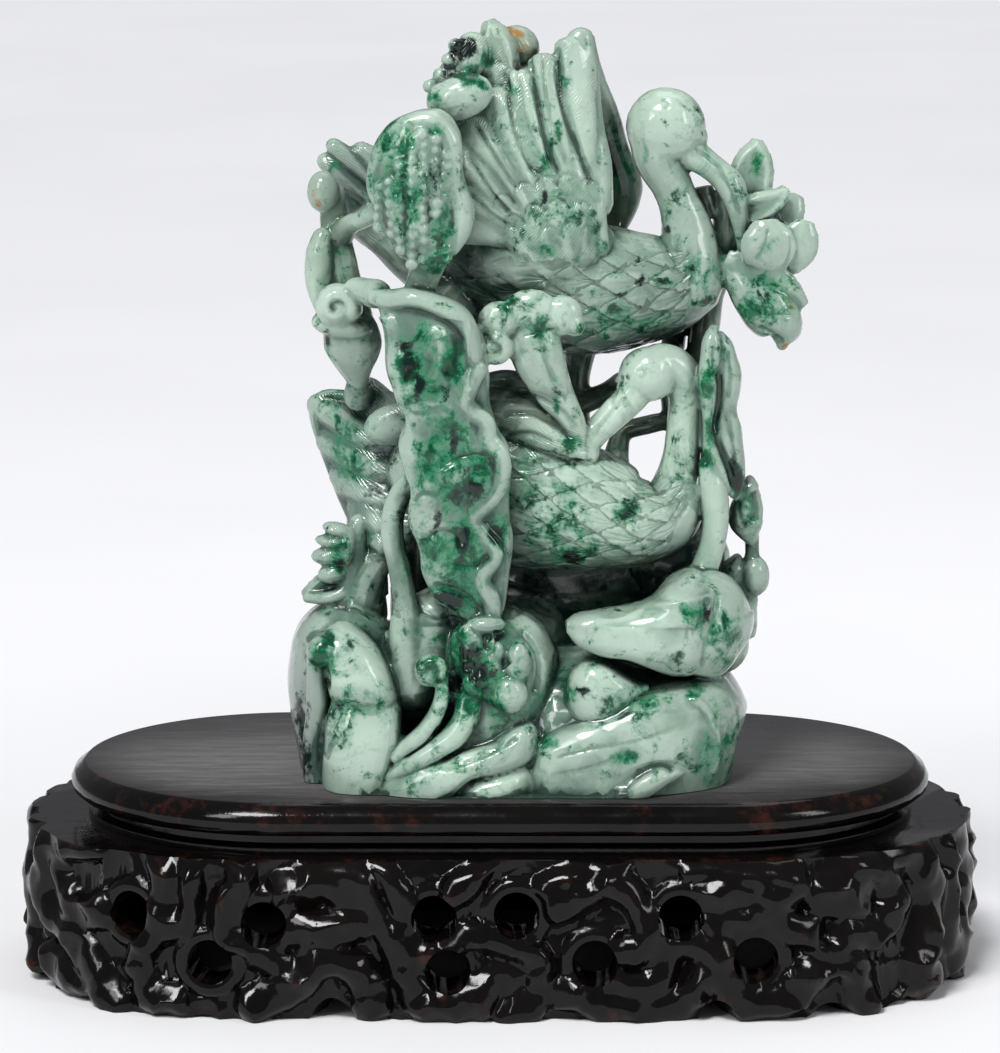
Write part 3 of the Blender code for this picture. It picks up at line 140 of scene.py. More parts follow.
# Lines cut into the stone, or raised on it: width, depth, y, and the line's x and z.
STROKES = {
    "upper stork's bill and eye": [
        (0.6, 0.7, -13, [(58.8, 194.7), (65, 190.4), (70, 183), (74.1, 172.5)]),
        (0.5, 0.5, -17, [(49.1, 208.3), (50.3, 209.2), (51.5, 208.3), (50.9, 207.1), (49.4, 207.1)]),
    ],
    "near wing": [
        (0.9, 1.3, -17, [(8.2, 225), (10.4, 214.4), (14.1, 197.3), (18.7, 185)]),
        (1, 1.5, -17, [(17.3, 227.5), (18.9, 209.8), (23.8, 194.5), (28.2, 184.1)]),
        (0.9, 1.3, -18, [(1.2, 219.7), (4.9, 200.4), (11, 186.6)]),
        (0.8, 1.1, -19, [(-8.8, 204.5), (0.3, 189.8), (6.4, 182.2)]),
        (0.8, 1.1, -20, [(-10.4, 194.5), (-2.7, 182), (3.4, 175.2)]),
        (0.8, 1, -20, [(-10.4, 182.6), (-1.2, 174.3), (6.1, 170.9)]),
        (0.6, 0.7, -17, [(12.5, 225.7), (14.6, 206.7), (20.2, 189.9)]),
        (0.6, 0.7, -17, [(4.9, 221.4), (7.9, 203.7), (12.8, 191.4)]),
        (0.6, 0.5, -20, [(-1.8, 176.8), (-1.8, 179.8), (0.3, 181.7), (3.1, 180.7), (4.9, 178)]),
        (0.6, 0.5, -20, [(4.6, 180.1), (4.6, 183.2), (6.7, 185), (9.5, 184.1), (11.3, 181.4)]),
        (0.6, 0.5, -20, [(11.3, 182), (11.3, 185), (13.4, 186.9), (16.2, 186), (18, 183.2)]),
        (0.6, 0.5, -20, [(18, 182.6), (18, 185.7), (20.1, 187.5), (22.9, 186.6), (24.7, 183.8)]),
        (0.6, 0.5, -20, [(24.4, 182), (24.7, 184.4), (26.3, 185.7), (28.4, 185), (29.9, 183.2)]),
        (0.6, 0.5, -20, [(1.5, 170.3), (1.5, 173.4), (3.7, 175.2), (6.4, 174.3), (8.3, 171.5)]),
        (0.6, 0.5, -20, [(8, 173.7), (7.9, 176.8), (10.1, 178.6), (12.8, 177.7), (14.7, 174.9)]),
        (0.6, 0.5, -20, [(14.7, 175.2), (14.7, 178.3), (16.8, 180.1), (19.6, 179.2), (21.4, 176.4)]),
        (0.6, 0.5, -20, [(21.7, 174.9), (21.7, 177.7), (23.5, 179.2), (26.3, 178.6), (27.8, 176.1)]),
        (0.6, 0.5, -20, [(12.2, 167.2), (12.2, 170), (14.1, 171.5), (16.8, 170.9), (18.4, 168.4)]),
        (0.6, 0.5, -20, [(18.7, 168.4), (18.7, 171.2), (20.5, 172.8), (23.2, 172.1), (24.8, 169.7)]),
        (0.6, 0.5, -20, [(24.8, 167.8), (25.1, 170.3), (26.6, 171.5), (28.8, 170.9), (30.3, 169.1)]),
    ],
    "lower stork's bill, eye and folded wing": [
        (0.6, 0.7, -27, [(38.6, 119.4), (33.7, 113.8), (28.9, 107.6)]),
        (0.7, 0.7, -28, [(36.1, 121.4), (34.3, 118.3), (35.6, 115.2)]),
        (0.5, 0.5, -28, [(41.9, 127), (43.1, 127.9), (44.4, 127), (43.5, 125.7), (41.9, 126.1)]),
        (0.9, 0.9, -26, [(0.6, 119.2), (9.8, 120.4), (17.8, 116.7), (24, 109.9)]),
        (0.9, 0.9, -27, [(0, 113.8), (9.2, 114.7), (16.9, 111), (22.7, 106)]),
        (0.9, 0.8, -27, [(0.9, 106.9), (9.2, 108.2), (16.3, 105.7)]),
    ],
    "draped leaf": [
        (0.8, 0.4, -46, [(-29.1, 118.2), (-22.7, 117.6), (-18.2, 119.2), (-12.7, 117)]),
        (0.9, 0.9, -46, [(-18.2, 100.4), (-14.6, 103.2), (-8.5, 105), (-3.6, 104.7)]),
        (0.9, 0.8, -46, [(-27, 89.6), (-23.1, 93), (-18.2, 91.8)]),
        (0.9, 0.9, -46, [(-24.3, 78.4), (-18.2, 81.5), (-12.8, 79.7), (-11.6, 76.3)]),
        (1, 1, -46, [(-15.2, 71.9), (-7.9, 70.4), (-3, 73.8)]),
        (1, 1.1, -45, [(-21, 64.6), (-14.6, 63), (-9.2, 59.9), (-5.5, 54.9)]),
        (1.8, -1, -46, [(-19, 144.5), (-17.8, 138.8), (-19, 131.7), (-21.8, 123.8)]),
        (1.6, 0.8, -46, [(-27.8, 138.8), (-26, 133.6), (-27.5, 126.8)]),
        (1.6, 0.8, -46, [(-13, 141.8), (-13.3, 135.7), (-15.1, 128.7)]),
    ],
    "middle leaf": [
        (0.5, 0.6, -36, [(11.5, 140.6), (6.7, 139.3)]), (0.5, 0.6, -36, [(11.5, 140.6), (8.2, 144.9)]),
        (0.5, 0.6, -36, [(11.5, 140.6), (11.5, 147.3)]), (0.5, 0.6, -36, [(11.5, 140.6), (15.5, 145.2)]),
        (0.5, 0.6, -36, [(11.5, 140.6), (18.2, 141.8)]),
        (0.6, 0.7, -35, [(11.6, 140.4), (13.7, 132.4), (17.1, 124.7)]),
    ],
    "right leaf": [
        (
            0.9, 0.9, -24,
            [
                (66.2, 138.7), (65.3, 131.6), (67.5, 123.9), (67.6, 117), (65.8, 107.7), (68.3, 102.3),
                (71.2, 94.5), (71.5, 87.6),
            ],
        ),
        (0.7, 0.7, -22, [(70, 133.5), (70.7, 125.7), (69.8, 117.9)]),
        (0.8, 0.8, -22, [(68.9, 114.2), (71.5, 105.4), (72.5, 96.7)]),
    ],
    "bud": [
        (2.2, 1.9, -17, [(77.8, 88.2), (79.7, 83.1), (78.8, 78.1)]),
        (0.6, 0.6, -17, [(73.8, 85.7), (74.4, 80.9), (76.3, 75.6)]),
    ],
    "back boulder": [
        (0.9, -0.9, -20, [(-47.8, 53.4), (-42.3, 50.8), (-37, 46.4), (-33.3, 41.9)]),
        (1, 1, -22, [(-60.9, 42.4), (-55.9, 46.2), (-48.1, 47.1), (-39.7, 44.3)]),
    ],
    "front boulder": [
        (0.8, 0.3, -48, [(-52.9, 27.4), (-47.4, 28), (-42.2, 25.5), (-36.7, 25.2), (-30.6, 27.7)]),
        (0.9, 1, -48, [(-49.6, 18.3), (-52.1, 14.2), (-54, 9.8)]),
        (1, 1.1, -47, [(-54.4, 39.1), (-52.3, 35.9), (-52.9, 30.9)]),
    ],
    "dome and the leaf behind it": [
        (1, 1.1, -40, [(5.2, 49.4), (10.7, 43.2), (12, 36.2), (10.1, 29.3)]),
        (0.8, -0.8, -34, [(1.8, 54.1), (8, 50.7), (13.9, 45), (17.3, 37.4)]),
        (0.7, 0.7, -36, [(-24.9, 54.2), (-18.4, 52), (-9.2, 52.7)]),
        (0.7, 0.7, -37, [(-24.3, 50.1), (-16.9, 49.7), (-7.4, 51.3)]),
    ],
    "rolled leaf": [
        (1.8, 1.5, -48, [(-13.7, 48.7), (-13.1, 43.4), (-13.7, 35.6), (-13.1, 29.3)]),
        (2.2, 1.6, -48, [(-3.7, 44.9), (0, 41.8), (2.4, 39.3)]),
        (1.3, 1.6, -48, [(-6.7, 48.1), (-9.2, 41.8), (-6.7, 34.3), (-3.7, 31.2)]),
        (1.2, 1.4, -47, [(0, 50.3), (-1.8, 46.6), (-4.9, 44.7)]),
    ],
    "shelf": [
        (0.9, 0.5, -46, [(66.5, 63.2), (65.3, 53.9), (62.9, 45.7), (61.8, 37)]),
        (0.7, -0.7, -46, [(22.9, 53.2), (36.6, 53.9), (47.3, 57.6), (57.9, 59.8), (65.9, 60.7)]),
    ],
    "base": [
        (1, -1, -48, [(57.5, 29.3), (62.7, 25.5), (66.1, 18.3), (67.1, 10.4), (65.1, 2.2)]),
        (0.5, 0.5, -53, [(15.9, 11.6), (27.5, 14.8), (42.7, 17.6), (58, 22)]),
        (0.5, 0.5, -53, [(14.7, 6), (27.5, 9.1), (42.8, 14.2)]),
        (1.2, 1.3, -54, [(36.1, 1.8), (42.8, 7.5), (49.5, 9.4), (53.8, 7.2)]),
    ],
    "folds at the foot": [
        (0.8, 0.8, -54, [(-29.3, 11.3), (-22.9, 16), (-18.3, 21.9)]),
        (0.9, 1, -55, [(-18.3, 8.4), (-9.2, 11.5), (0, 15.9), (6.7, 19)]),
    ],
    "flower": [
        (0.7, 0.8, -14, [(79.3, 139.7), (83.9, 137.2), (87.6, 133.8)]),
        (0.6, 0.6, -14, [(74.5, 147.8), (81.7, 144.1), (91.9, 142.8)]),
        (0.6, 0.6, -16, [(78.6, 159.9), (81, 165.1), (82.2, 170.4)]),
        (0.6, 0.6, -16, [(87.3, 157.4), (89, 163), (89, 167.9)]),
    ],
}

# Where the stone changes colour, some dark patches also standing in for shade: x, y, z, the reach along each
# and the strength.
PATCHES = {
    "emerald": [
        (-28, -40, 200, 2.6, 9, 4.6, 0.9), (-29, -42, 191, 2.3, 11, 7.2, 1),
        (-26, -42, 181, 2.3, 10, 6.6, 0.9), (-18, -40, 164, 5.2, 9, 3.9, 0.9),
        (-20, -40, 204, 3.2, 7, 2.6, 0.7), (-10, -24, 218, 4.5, 9, 2.6, 0.9),
        (-20, -24, 210, 2.6, 7, 2.6, 0.9), (-5, -26, 216, 1.9, 6, 2.0, 0.7),
        (-5, -14, 221, 1.9, 7, 3.0, 0.8), (19, -13, 216, 2.6, 7, 1.6, 0.9), (3, -14, 213, 1.9, 6, 2.3, 0.9),
        (17, -16, 201, 1.3, 6, 2.0, 0.7), (14, -18, 192, 1.3, 10, 5.9, 0.7), (34, 8, 185, 5.2, 9, 4.3, 1),
        (14, -22, 165, 3.2, 7, 2.3, 0.7), (32, -20, 164, 2.9, 7, 2.6, 0.5), (50, -20, 154, 3.2, 7, 2.0, 0.5),
        (28, -18, 139, 12.9, 17, 3.9, 0.35), (-27, -45, 132, 4.8, 9, 4.6, 1),
        (-15, -46, 134, 3.9, 11, 7.2, 1), (-14, -46, 114, 2.6, 10, 6.6, 0.9),
        (-6, -46, 101, 4.5, 9, 4.6, 0.95), (-12, -46, 94, 7.1, 11, 4.6, 1),
        (-21, -46, 100, 2.6, 9, 5.2, 0.7), (-1, -44, 82, 3.9, 9, 4.6, 1), (-14, -46, 73, 8.4, 12, 7.9, 0.85),
        (-12, -45, 60, 5.8, 10, 5.9, 0.9), (-12, -46, 80, 2.9, 12, 7.9, 1), (3, -36, 149, 2.9, 7, 2.3, 0.6),
        (11, -36, 142, 2.9, 7, 3.0, 0.7), (18, -33, 117, 1.3, 7, 2.6, 0.8), (38, -36, 84, 2.9, 7, 2.6, 1),
        (22, -34, 71, 5.8, 10, 3.9, 1), (24, -35, 78, 1.6, 7, 3.3, 0.8), (21, -35, 89, 3.2, 7, 3.3, 0.5),
        (22, -29, 106, 3.2, 7, 2.3, 0.8), (64, -26, 124, 2.6, 9, 4.6, 0.9), (65, -26, 110, 2.3, 10, 6.6, 1),
        (64, -26, 100, 2.6, 8, 3.9, 0.9), (73, -20, 92, 2.6, 10, 5.9, 0.8), (76, -12, 81, 3.2, 10, 6.6, 0.6),
        (83, -16, 164, 3.2, 8, 3.9, 0.5), (76, -14, 146, 4.5, 9, 3.3, 0.7), (79, -5, 188, 1.9, 9, 5.2, 0.6),
        (-50, -18, 68, 3.2, 10, 5.9, 0.8), (-53, -24, 134, 2.6, 9, 5.2, 0.6), (-21, -52, 40, 2.3, 6, 2.3, 1),
        (-5, -50, 37, 8.4, 12, 6.6, 1), (-15, -46, 45, 3.9, 8, 2.6, 1), (0, -50, 28, 3.2, 7, 3.3, 0.9),
        (10, -42, 28, 6.5, 10, 5.2, 0.6), (18, -46, 32, 4.5, 10, 5.9, 0.9), (15, -50, 17, 2.6, 7, 3.3, 0.7),
        (62, -40, 16, 3.2, 9, 5.2, 1), (38, -52, 12, 2.9, 7, 2.3, 0.9), (60, -42, 30, 3.2, 7, 3.3, 0.8),
        (63, -28, 55, 2.3, 9, 5.2, 0.9), (66, -34, 45, 3.2, 8, 3.9, 0.6), (-54, -44, 42, 2.3, 10, 6.6, 0.9),
        (-47, -48, 32, 3.9, 8, 2.6, 0.5), (-28, -32, 70, 1.9, 12, 7.9, 0.6),
        (-46, -2, 94, 4.5, 10, 6.6, 0.6), (-50, 0, 187, 3.9, 8, 3.9, 0.5),
        (-23, -45, 132, 11.0, 18, 13.8, 0.5), (-15, -45, 100, 10.3, 19, 15.7, 0.6),
        (-14, -45, 71, 9.7, 18, 13.8, 0.6), (-32, -40, 193, 6.5, 22, 18.0, 0.4),
        (-6, -48, 39, 15.5, 19, 13.8, 0.55), (67, -36, 12, 6.5, 19, 15.7, 0.55),
        (18, -18, 182, 9.7, 17, 13.1, 0.12), (-41, -48, 29, 11.0, 15, 5.9, 0.4),
        (68, -40, 46, 7.1, 15, 11.1, 0.4), (58, -46, 56, 4.8, 9, 3.9, 0.85),
        (31, -20, 141, 19.4, 23, 5.2, 0.35), (20, -34, 75, 9.7, 14, 9.2, 0.5),
        (-47, -10, 103, 11.0, 17, 13.1, 0.4), (62, -12, 157, 6.5, 14, 9.8, 0.25),
        (-54, -46, 40, 3.2, 9, 4.6, 0.8), (-21, -52, 8, 9.7, 14, 5.2, 0.35),
        (85, -12, 148, 7.1, 12, 7.9, 0.3), (43, -46, 29, 9.7, 14, 5.2, 0.3), (6, -36, 96, 5.2, 14, 9.8, 0.3),
        (-7, -50, 33, 9.7, 14, 8.5, 0.8), (-15, -46, 48, 7.1, 11, 4.6, 0.8),
        (-17, -42, 175, 3.2, 12, 8.5, 0.7), (34, 8, 187, 6.5, 12, 8.5, 0.6),
    ],
    "ink_and_shade": [
        (-29, -42, 191, 1.3, 8, 3.9, 0.9), (-12, -18, 225, 3.2, 8, 3.9, 1),
        (-16, -18, 218, 2.9, 7, 3.0, 0.9), (42, -22, 161, 1.0, 7, 3.0, 1), (43, -22, 154, 1.3, 7, 2.6, 1),
        (36, -22, 150, 3.9, 8, 0.8, 0.8), (50, -22, 154, 2.3, 6, 1.0, 0.9), (51, -14, 168, 1.6, 6, 1.3, 0.9),
        (13, -20, 180, 0.8, 7, 3.0, 1), (28, -16, 185, 2.6, 7, 1.3, 0.8), (35, 8, 185, 2.6, 7, 2.6, 0.7),
        (-27.5, -45, 133, 2, 7, 4.6, 0.9), (-30, -44, 139, 2.9, 7, 1.3, 0.9),
        (-16.5, -46, 126, 1.5, 8, 4.4, 0.8), (-14, -46, 110, 1.3, 9, 4.6, 1), (-10, -46, 93, 5.2, 9, 3.3, 1),
        (-12, -46, 79, 1.9, 10, 5.9, 1), (-2, -44, 81, 2.6, 7, 3.0, 1), (-18, -46, 68, 2.6, 7, 3.3, 0.6),
        (-14, -45, 58, 3.2, 7, 3.3, 0.8), (38, -36, 84, 1.9, 6, 1.6, 1), (22, -33, 70, 3.5, 8, 2.6, 1),
        (30, -34, 95, 1.3, 5, 1.3, 0.9), (74, -20, 94, 1.6, 8, 3.9, 0.7), (75, -12, 78, 1.9, 9, 4.6, 0.6),
        # The next three near-black patches fill the recess under the lower stork: partly dark stone, partly
        # painted shade.
        (54, -10, 64, 9.7, 14, 6.6, 1), (44, -14, 57, 12.9, 17, 4.6, 1), (19, -16, 56, 19.4, 23, 3.9, 1),
        (-7, -50, 38, 4.5, 9, 4.3, 0.9), (17, -44, 32, 2.6, 8, 3.9, 0.9), (-60, -30, 20, 3.9, 12, 7.9, 0.55),
        (-55, -46, 38, 1.6, 6, 1.6, 0.8), (-49, -48, 26, 1.9, 6, 1.6, 0.6), (-49, -16, 66, 1.9, 7, 3.3, 0.8),
        (-38, -12, 101, 6.5, 10, 3.9, 0.6), (-37, -14, 88, 4.5, 10, 6.6, 0.6),
        (-29, -34, 86, 1.6, 10, 6.6, 0.5), (-32, -30, 57, 5.2, 9, 4.6, 0.7),
        (81, -14, 149, 3.2, 7, 1.6, 0.5), (-24.5, -46, 127, 1.2, 10, 5.5, 0.85),
        (-13, -46, 132, 1.1, 9, 3.2, 0.6), (-9, -46, 100, 3.9, 8, 1.6, 0.9),
        (-16, -46, 60, 3.9, 8, 2.0, 0.9), (-20, -46, 85, 1.6, 9, 4.6, 0.9),
        (-52, -24, 137, 1.3, 7, 3.3, 0.8), (63, -46, 56, 1.6, 7, 3.0, 0.9), (72, -22, 96, 1.3, 9, 4.6, 0.9),
        (24, -46, 32, 1.9, 6, 2.0, 0.9), (-9, -50, 45, 3.2, 7, 2.0, 1), (-1, -50, 38, 1.9, 9, 4.6, 0.9),
        (-20, -40, 184, 1.0, 14, 9.8, 0.5), (-61, -24, 9, 3.9, 23, 19.7, 0.8),
        (-60, -24, 34, 2.6, 9, 5.2, 0.7),
    ],
    "brown": [
        (-55, -18, 177, 1.9, 6, 1.6, 0.9), (-57, -16, 180, 1.9, 7, 3.3, 0.6), (4, -4, 229, 2.6, 7, 1.6, 0.9),
        (7, -4, 224, 3.9, 8, 3.9, 0.5), (88, -11, 133, 1.9, 6, 1.3, 1), (90, -11, 147, 2.6, 9, 4.6, 0.4),
        (40, -46, 58, 7.7, 12, 1.3, 0.6), (18, -46, 48, 2.6, 7, 2.6, 0.4), (74, -34, 28, 1.9, 9, 4.6, 0.7),
        (43, -26, 68, 12.9, 17, 3.3, 0.35), (59, 4, 129, 9.7, 14, 9.8, 0.55),
        (38, 14, 171, 5.2, 11, 7.2, 0.4), (64, -24, 89, 2.6, 10, 6.6, 0.3), (34, -44, 59, 6.5, 10, 1.0, 0.5),
        (-62, -20, 55, 3.2, 7, 2.0, 0.3),
    ],
    "pale": [
        (45, -20, 125, 14, 14, 12, 1), (55, -18, 102, 8, 12, 26, 0.9), (30, -32, 90, 22, 12, 16, 1),
        (-46, -48, 26, 13, 10, 24, 0.8), (12, -34, 144, 18, 8, 10, 0.8), (-2, -34, 135, 9, 8, 8, 0.8),
        (48, -44, 48, 26, 12, 9, 0.6), (44, -50, 12, 26, 12, 12, 0.7), (24, -12, 200, 4, 8, 26, 0.9),
        (50, -10, 200, 13, 12, 12, 0.7), (-6, -54, 8, 18, 8, 10, 0.8), (-12, -40, 190, 4, 8, 16, 0.7),
        (87, -12, 165, 9, 10, 14, 0.5), (28, -46, 28, 11, 8, 8, 0.7), (66, -24, 84, 5, 6, 20, 0.7),
        (-50, -28, 148, 9, 8, 9, 0.7), (34, -20, 156, 22, 12, 12, 0.6), (16, -30, 120, 7, 6, 20, 0.6),
        (-2, -9, 224, 6, 6, 10, 0.6), (38, -24, 112, 15, 12, 12, 1),
    ],
    "slate_and_shade": [
        (-45, 0, 95, 20, 16, 24, 1), (-42, 0, 182, 18, 12, 14, 1), (-16, -10, 162, 16, 12, 12, 0.8),
        (32, -8, 133, 36, 16, 8, 0.8), (-62, -20, 12, 9, 20, 20, 0.7), (-30, -44, 141, 9, 8, 10, 0.5),
        (73, -18, 92, 5, 8, 16, 0.7), (-50, -20, 134, 9, 10, 10, 0.4), (-34, -30, 186, 9, 8, 16, 0.5),
        # The last patch on the next line darkens the recess under the lower stork: partly dark stone, partly
        # painted shade.
        (-20, -42, 98, 14, 6, 30, 0.35), (-52, -16, 66, 8, 8, 14, 0.7), (5, -10, 60, 40, 20, 10, 0.9),
        (78, -12, 62, 7, 8, 8, 0.5), (-17, -45, 97, 13.5, 44, 41.0, 0.5), (-59, -16, 20, 5.2, 35, 31.1, 1),
        (-42, -48, 27, 12.9, 17, 6.6, 0.55), (-35, -40, 180, 7.1, 22, 18.0, 0.6),
        (37, -50, 9, 25.8, 30, 8.5, 0.35), (61, -40, 46, 9.7, 14, 6.6, 0.35),
        (-14, -44, 47, 12.9, 17, 7.9, 0.6), (18, -44, 28, 7.1, 12, 8.5, 0.5),
        (43, -20, 155, 12.9, 17, 9.8, 0.3), (2, -16, 179, 4.5, 20, 16.4, 0.45),
        (74, -10, 147, 9.7, 14, 6.6, 0.25), (-60, -24, 17, 6.5, 36, 32.8, 1.2),
        (-48, -30, 41, 12.9, 17, 5.2, 0.3),
    ],
    "olive_and_shade": [
        # The first, largest patch darkens the back and the recess under the lower stork: partly dark stone,
        # partly painted shade.
        (0, 42, 120, 110, 34, 150, 0.75), (62, 4, 115, 8, 12, 60, 0.9), (24, 4, 114, 8, 10, 22, 0.8),
        (46, 4, 104, 14, 8, 10, 0.8), (10, -20, 113, 16, 10, 9, 0.6), (36, 10, 175, 10, 14, 14, 0.6),
        (4, -4, 222, 8, 10, 10, 0.6), (-52, -16, 172, 6, 8, 16, 0.5), (63, -1, 176, 5, 6, 9, 0.7),
    ],
}

TOWARDS_VIEWER = np.array([0.0, -1.0, 0.0])
DEPTH = np.array([0.0, 1.0, 0.0])
UP = np.array([0.0, 0.0, 1.0])


def unit(rows):
    """The same directions, each one long."""
    rows = np.asarray(rows, float)
    return rows / np.maximum(np.linalg.norm(rows, axis=-1, keepdims=True), 1e-9)


def spline(rows, steps=6):
    """A smooth curve through rows of numbers. Columns after x, y, z, such as radii, run along with it."""
    rows = np.asarray(rows, float)
    ends = np.vstack([2 * rows[0] - rows[1], rows, 2 * rows[-1] - rows[-2]])
    share = np.linspace(0, 1, steps, endpoint=False)[:, None]
    spans = []
    for a, b, c, d in zip(ends, ends[1:], ends[2:], ends[3:]):
        spans.append(
            b
            + 0.5 * (c - a) * share
            + (a - 2.5 * b + 2 * c - 0.5 * d) * share**2
            + (1.5 * (b - c) + 0.5 * (d - a)) * share**3
        )
    return np.vstack([*spans, rows[-1]])


def between(start, end, share):
    """The point at a share of the way from start to end."""
    return (1 - share) * np.asarray(start, float) + share * np.asarray(end, float)


class Clay:
    """Closed shells, in millimetres, that a voxel remesh then fuses into one solid."""

    def __init__(self):
        self.points = []
        self.faces = []

    def loft(self, rings):
        """A closed shell through rings of points, with a flat cap at each end."""
        rings = np.asarray(rings, float)
        count, sides = rings.shape[:2]
        first = len(self.points)
        self.points.extend(rings.reshape(-1, 3))
        for i in range(count - 1):
            row = first + i * sides
            for j in range(sides):
                k = (j + 1) % sides
                self.faces.append((row + j, row + k, row + sides + k, row + sides + j))
        last = first + (count - 1) * sides
        self.faces.append(tuple(range(first + sides - 1, first - 1, -1)))
        self.faces.append(tuple(range(last, last + sides)))

    def tube(self, rows, side=DEPTH, sides=14, steps=6):
        """A limb with round ends. Each row is x, y, z, radius and, if it is oval, its radius along side."""
        rows = [row if len(row) == 5 else (*row, row[3]) for row in rows]
        line = spline(rows, steps)
        centre, tangent, across, deep = skeleton(line, side)
        slim, broad = line[:, 3], line[:, 4]
        angle = np.linspace(0, 2 * math.pi, sides, endpoint=False)[None, :, None]
        cap = np.radians([80, 55, 28])

        def ring(i, lift, shrink):
            middle = centre[i] + lift * tangent[i] * min(slim[i], broad[i])
            return (
                middle
                + shrink * slim[i] * np.cos(angle) * across[i]
                + shrink * broad[i] * np.sin(angle) * deep[i]
            )[0]

        rings = [ring(0, -math.sin(a), math.cos(a)) for a in cap]
        rings += [ring(i, 0, 1) for i in range(len(line))]
        rings += [ring(-1, math.sin(a), math.cos(a)) for a in cap[::-1]]
        self.loft(rings)

    def ball(self, centre, radii, along=(1, 0, 0), facing=(0, -1, 0), rows=9, sides=14):
        """An oval ball: radii run along the first axis, across it, and towards facing."""
        first = unit(along)
        third = unit(np.asarray(facing, float) - np.dot(facing, first) * first)
        second = np.cross(third, first)
        angle = np.linspace(0, 2 * math.pi, sides, endpoint=False)[:, None]
        rings = []
        for tilt in np.linspace(-0.97, 0.97, rows) * math.pi / 2:
            around = np.cos(angle) * radii[1] * second + np.sin(angle) * radii[2] * third
            rings.append(np.asarray(centre) + math.sin(tilt) * radii[0] * first + math.cos(tilt) * around)
        self.loft(rings)

    def sheet(self, grid, thickness):
        """A plate around a grid of points, such as a leaf or a petal, with a closed rim."""
        grid = np.asarray(grid, float)
        down = np.gradient(grid, axis=0)
        over = np.gradient(grid, axis=1)
        lift = unit(np.cross(down, over)) * thickness / 2
        self.loft(np.concatenate([grid + lift, (grid - lift)[:, ::-1]], axis=1))

    def leaf(self, rows, thickness, cup=0.0):
        """A leaf or petal along a spine, each row x, y, z and half width. Cup lifts its edges."""
        line = spline(rows)
        tangent = unit(np.gradient(line[:, :3], axis=0))
        wide = unit(np.cross(tangent, TOWARDS_VIEWER))
        lift = np.cross(wide, tangent)
        place = np.linspace(-1, 1, 9)[None, :]
        rise = cup * line[:, 3:4] * place**2
        grid = line[:, None, :3] + line[:, None, 3:4] * place[..., None] * wide[:, None]
        grid = grid + rise[..., None] * lift[:, None]
        self.sheet(grid, thickness)

    def fan(self, roots, tips, count, depth, spread=FEATHER_SPREAD, bow=(0, 0, 0), backing=0.5):
        """Long feathers from a line of roots to a line of tips, over a plate of backing times their depth."""
        share = np.linspace(0, 1, count)
        root_line = along_line(roots, share)
        tip_line = along_line(tips, share)
        root_gap = spread * np.linalg.norm(np.gradient(root_line, axis=0), axis=1)
        tip_gap = spread * np.linalg.norm(np.gradient(tip_line, axis=0), axis=1)
        for root, tip, thin, broad in zip(root_line, tip_line, root_gap, tip_gap):
            middle = between(root, tip, 0.5) + np.asarray(bow, float)
            rows = [
                (*root, thin, depth), (*middle, between(thin, broad, 0.55), depth),
                (*between(middle, tip, 0.7), broad, depth), (*tip, FEATHER_TIP * broad, FEATHER_TIP * depth),
            ]
            self.tube(rows, sides=12, steps=4)
        rise = np.array([0, 0.5, 0.97])[None, :, None]
        bend = np.array([0, 1, 0.2])[None, :, None] * np.asarray(bow, float)
        plate = root_line[:, None] * (1 - rise) + tip_line[:, None] * rise + bend
        self.sheet(plate, 2 * backing * depth)

    def slab(self, rows, sides=18, square=0.85):
        """A rounded solid between two edges seen from the front.

        Each row is x and z of one edge, x and z of the other, and the depths of the front and the back.
        """
        line = spline(rows, 5)
        angle = np.linspace(0, 2 * math.pi, sides, endpoint=False)[:, None]
        along = np.sign(np.cos(angle)) * np.abs(np.cos(angle)) ** square
        inward = np.sign(np.sin(angle)) * np.abs(np.sin(angle)) ** square
        rings = []
        for x0, z0, x1, z1, front, back in line:
            middle = np.array([x0 + x1, front + back, z0 + z1]) / 2
            half = np.array([x1 - x0, 0, z1 - z0]) / 2
            rings.append(middle + along * half + inward * (0, (back - front) / 2, 0))
        self.loft(rings)

    def curl(self, centre, radius, turns, thickness, width, start=0.0, hand=1):
        """A rolled leaf edge: a band of some width wound into a spiral seen from the front, over a disc."""
        across = unit(np.cross(DEPTH, UP))
        above = np.cross(across, DEPTH)
        points = []
        for share in np.linspace(0, 1, 30):
            angle = start + hand * 2 * math.pi * turns * share
            reach = (radius - thickness) * (1 - 0.85 * share)
            place = np.asarray(centre) + reach * (math.cos(angle) * across + math.sin(angle) * above)
            points.append((*place, thickness * (1 - 0.3 * share), width * (1 - 0.25 * share)))
        self.tube(points, sides=10, steps=1)
        self.ball(centre, (0.8 * radius, 0.8 * radius, 0.6 * width))

    def to_object(self, name, height=0.0):
        """The shells as one Blender object, lifted to its place."""
        mesh = bpy.data.meshes.new(name)
        points = np.array(self.points) * MM + np.array([0, 0, height * MM])
        mesh.from_pydata(points.tolist(), [], self.faces)
        shape = bmesh.new()
        shape.from_mesh(mesh)
        bmesh.ops.recalc_face_normals(shape, faces=shape.faces)
        shape.to_mesh(mesh)
        shape.free()
        obj = bpy.data.objects.new(name, mesh)
        bpy.context.scene.collection.objects.link(obj)
        return obj


def skeleton(line, side):
    """The centres of a limb, with the directions along it, across it and to its side."""
    centre = line[:, :3]
    tangent = unit(np.gradient(centre, axis=0))
    deep = np.empty_like(centre)
    last = np.asarray(side, float)
    for i, direction in enumerate(tangent):
        last = unit(last - np.dot(last, direction) * direction)
        deep[i] = last
    return centre, tangent, np.cross(deep, tangent), deep


def along_line(rows, shares):
    """Points at shares of the way along a smooth curve through rows."""
    line = spline(rows, 12)
    where = np.linspace(0, 1, len(line))
    return np.stack([np.interp(shares, where, column) for column in line.T], axis=1)


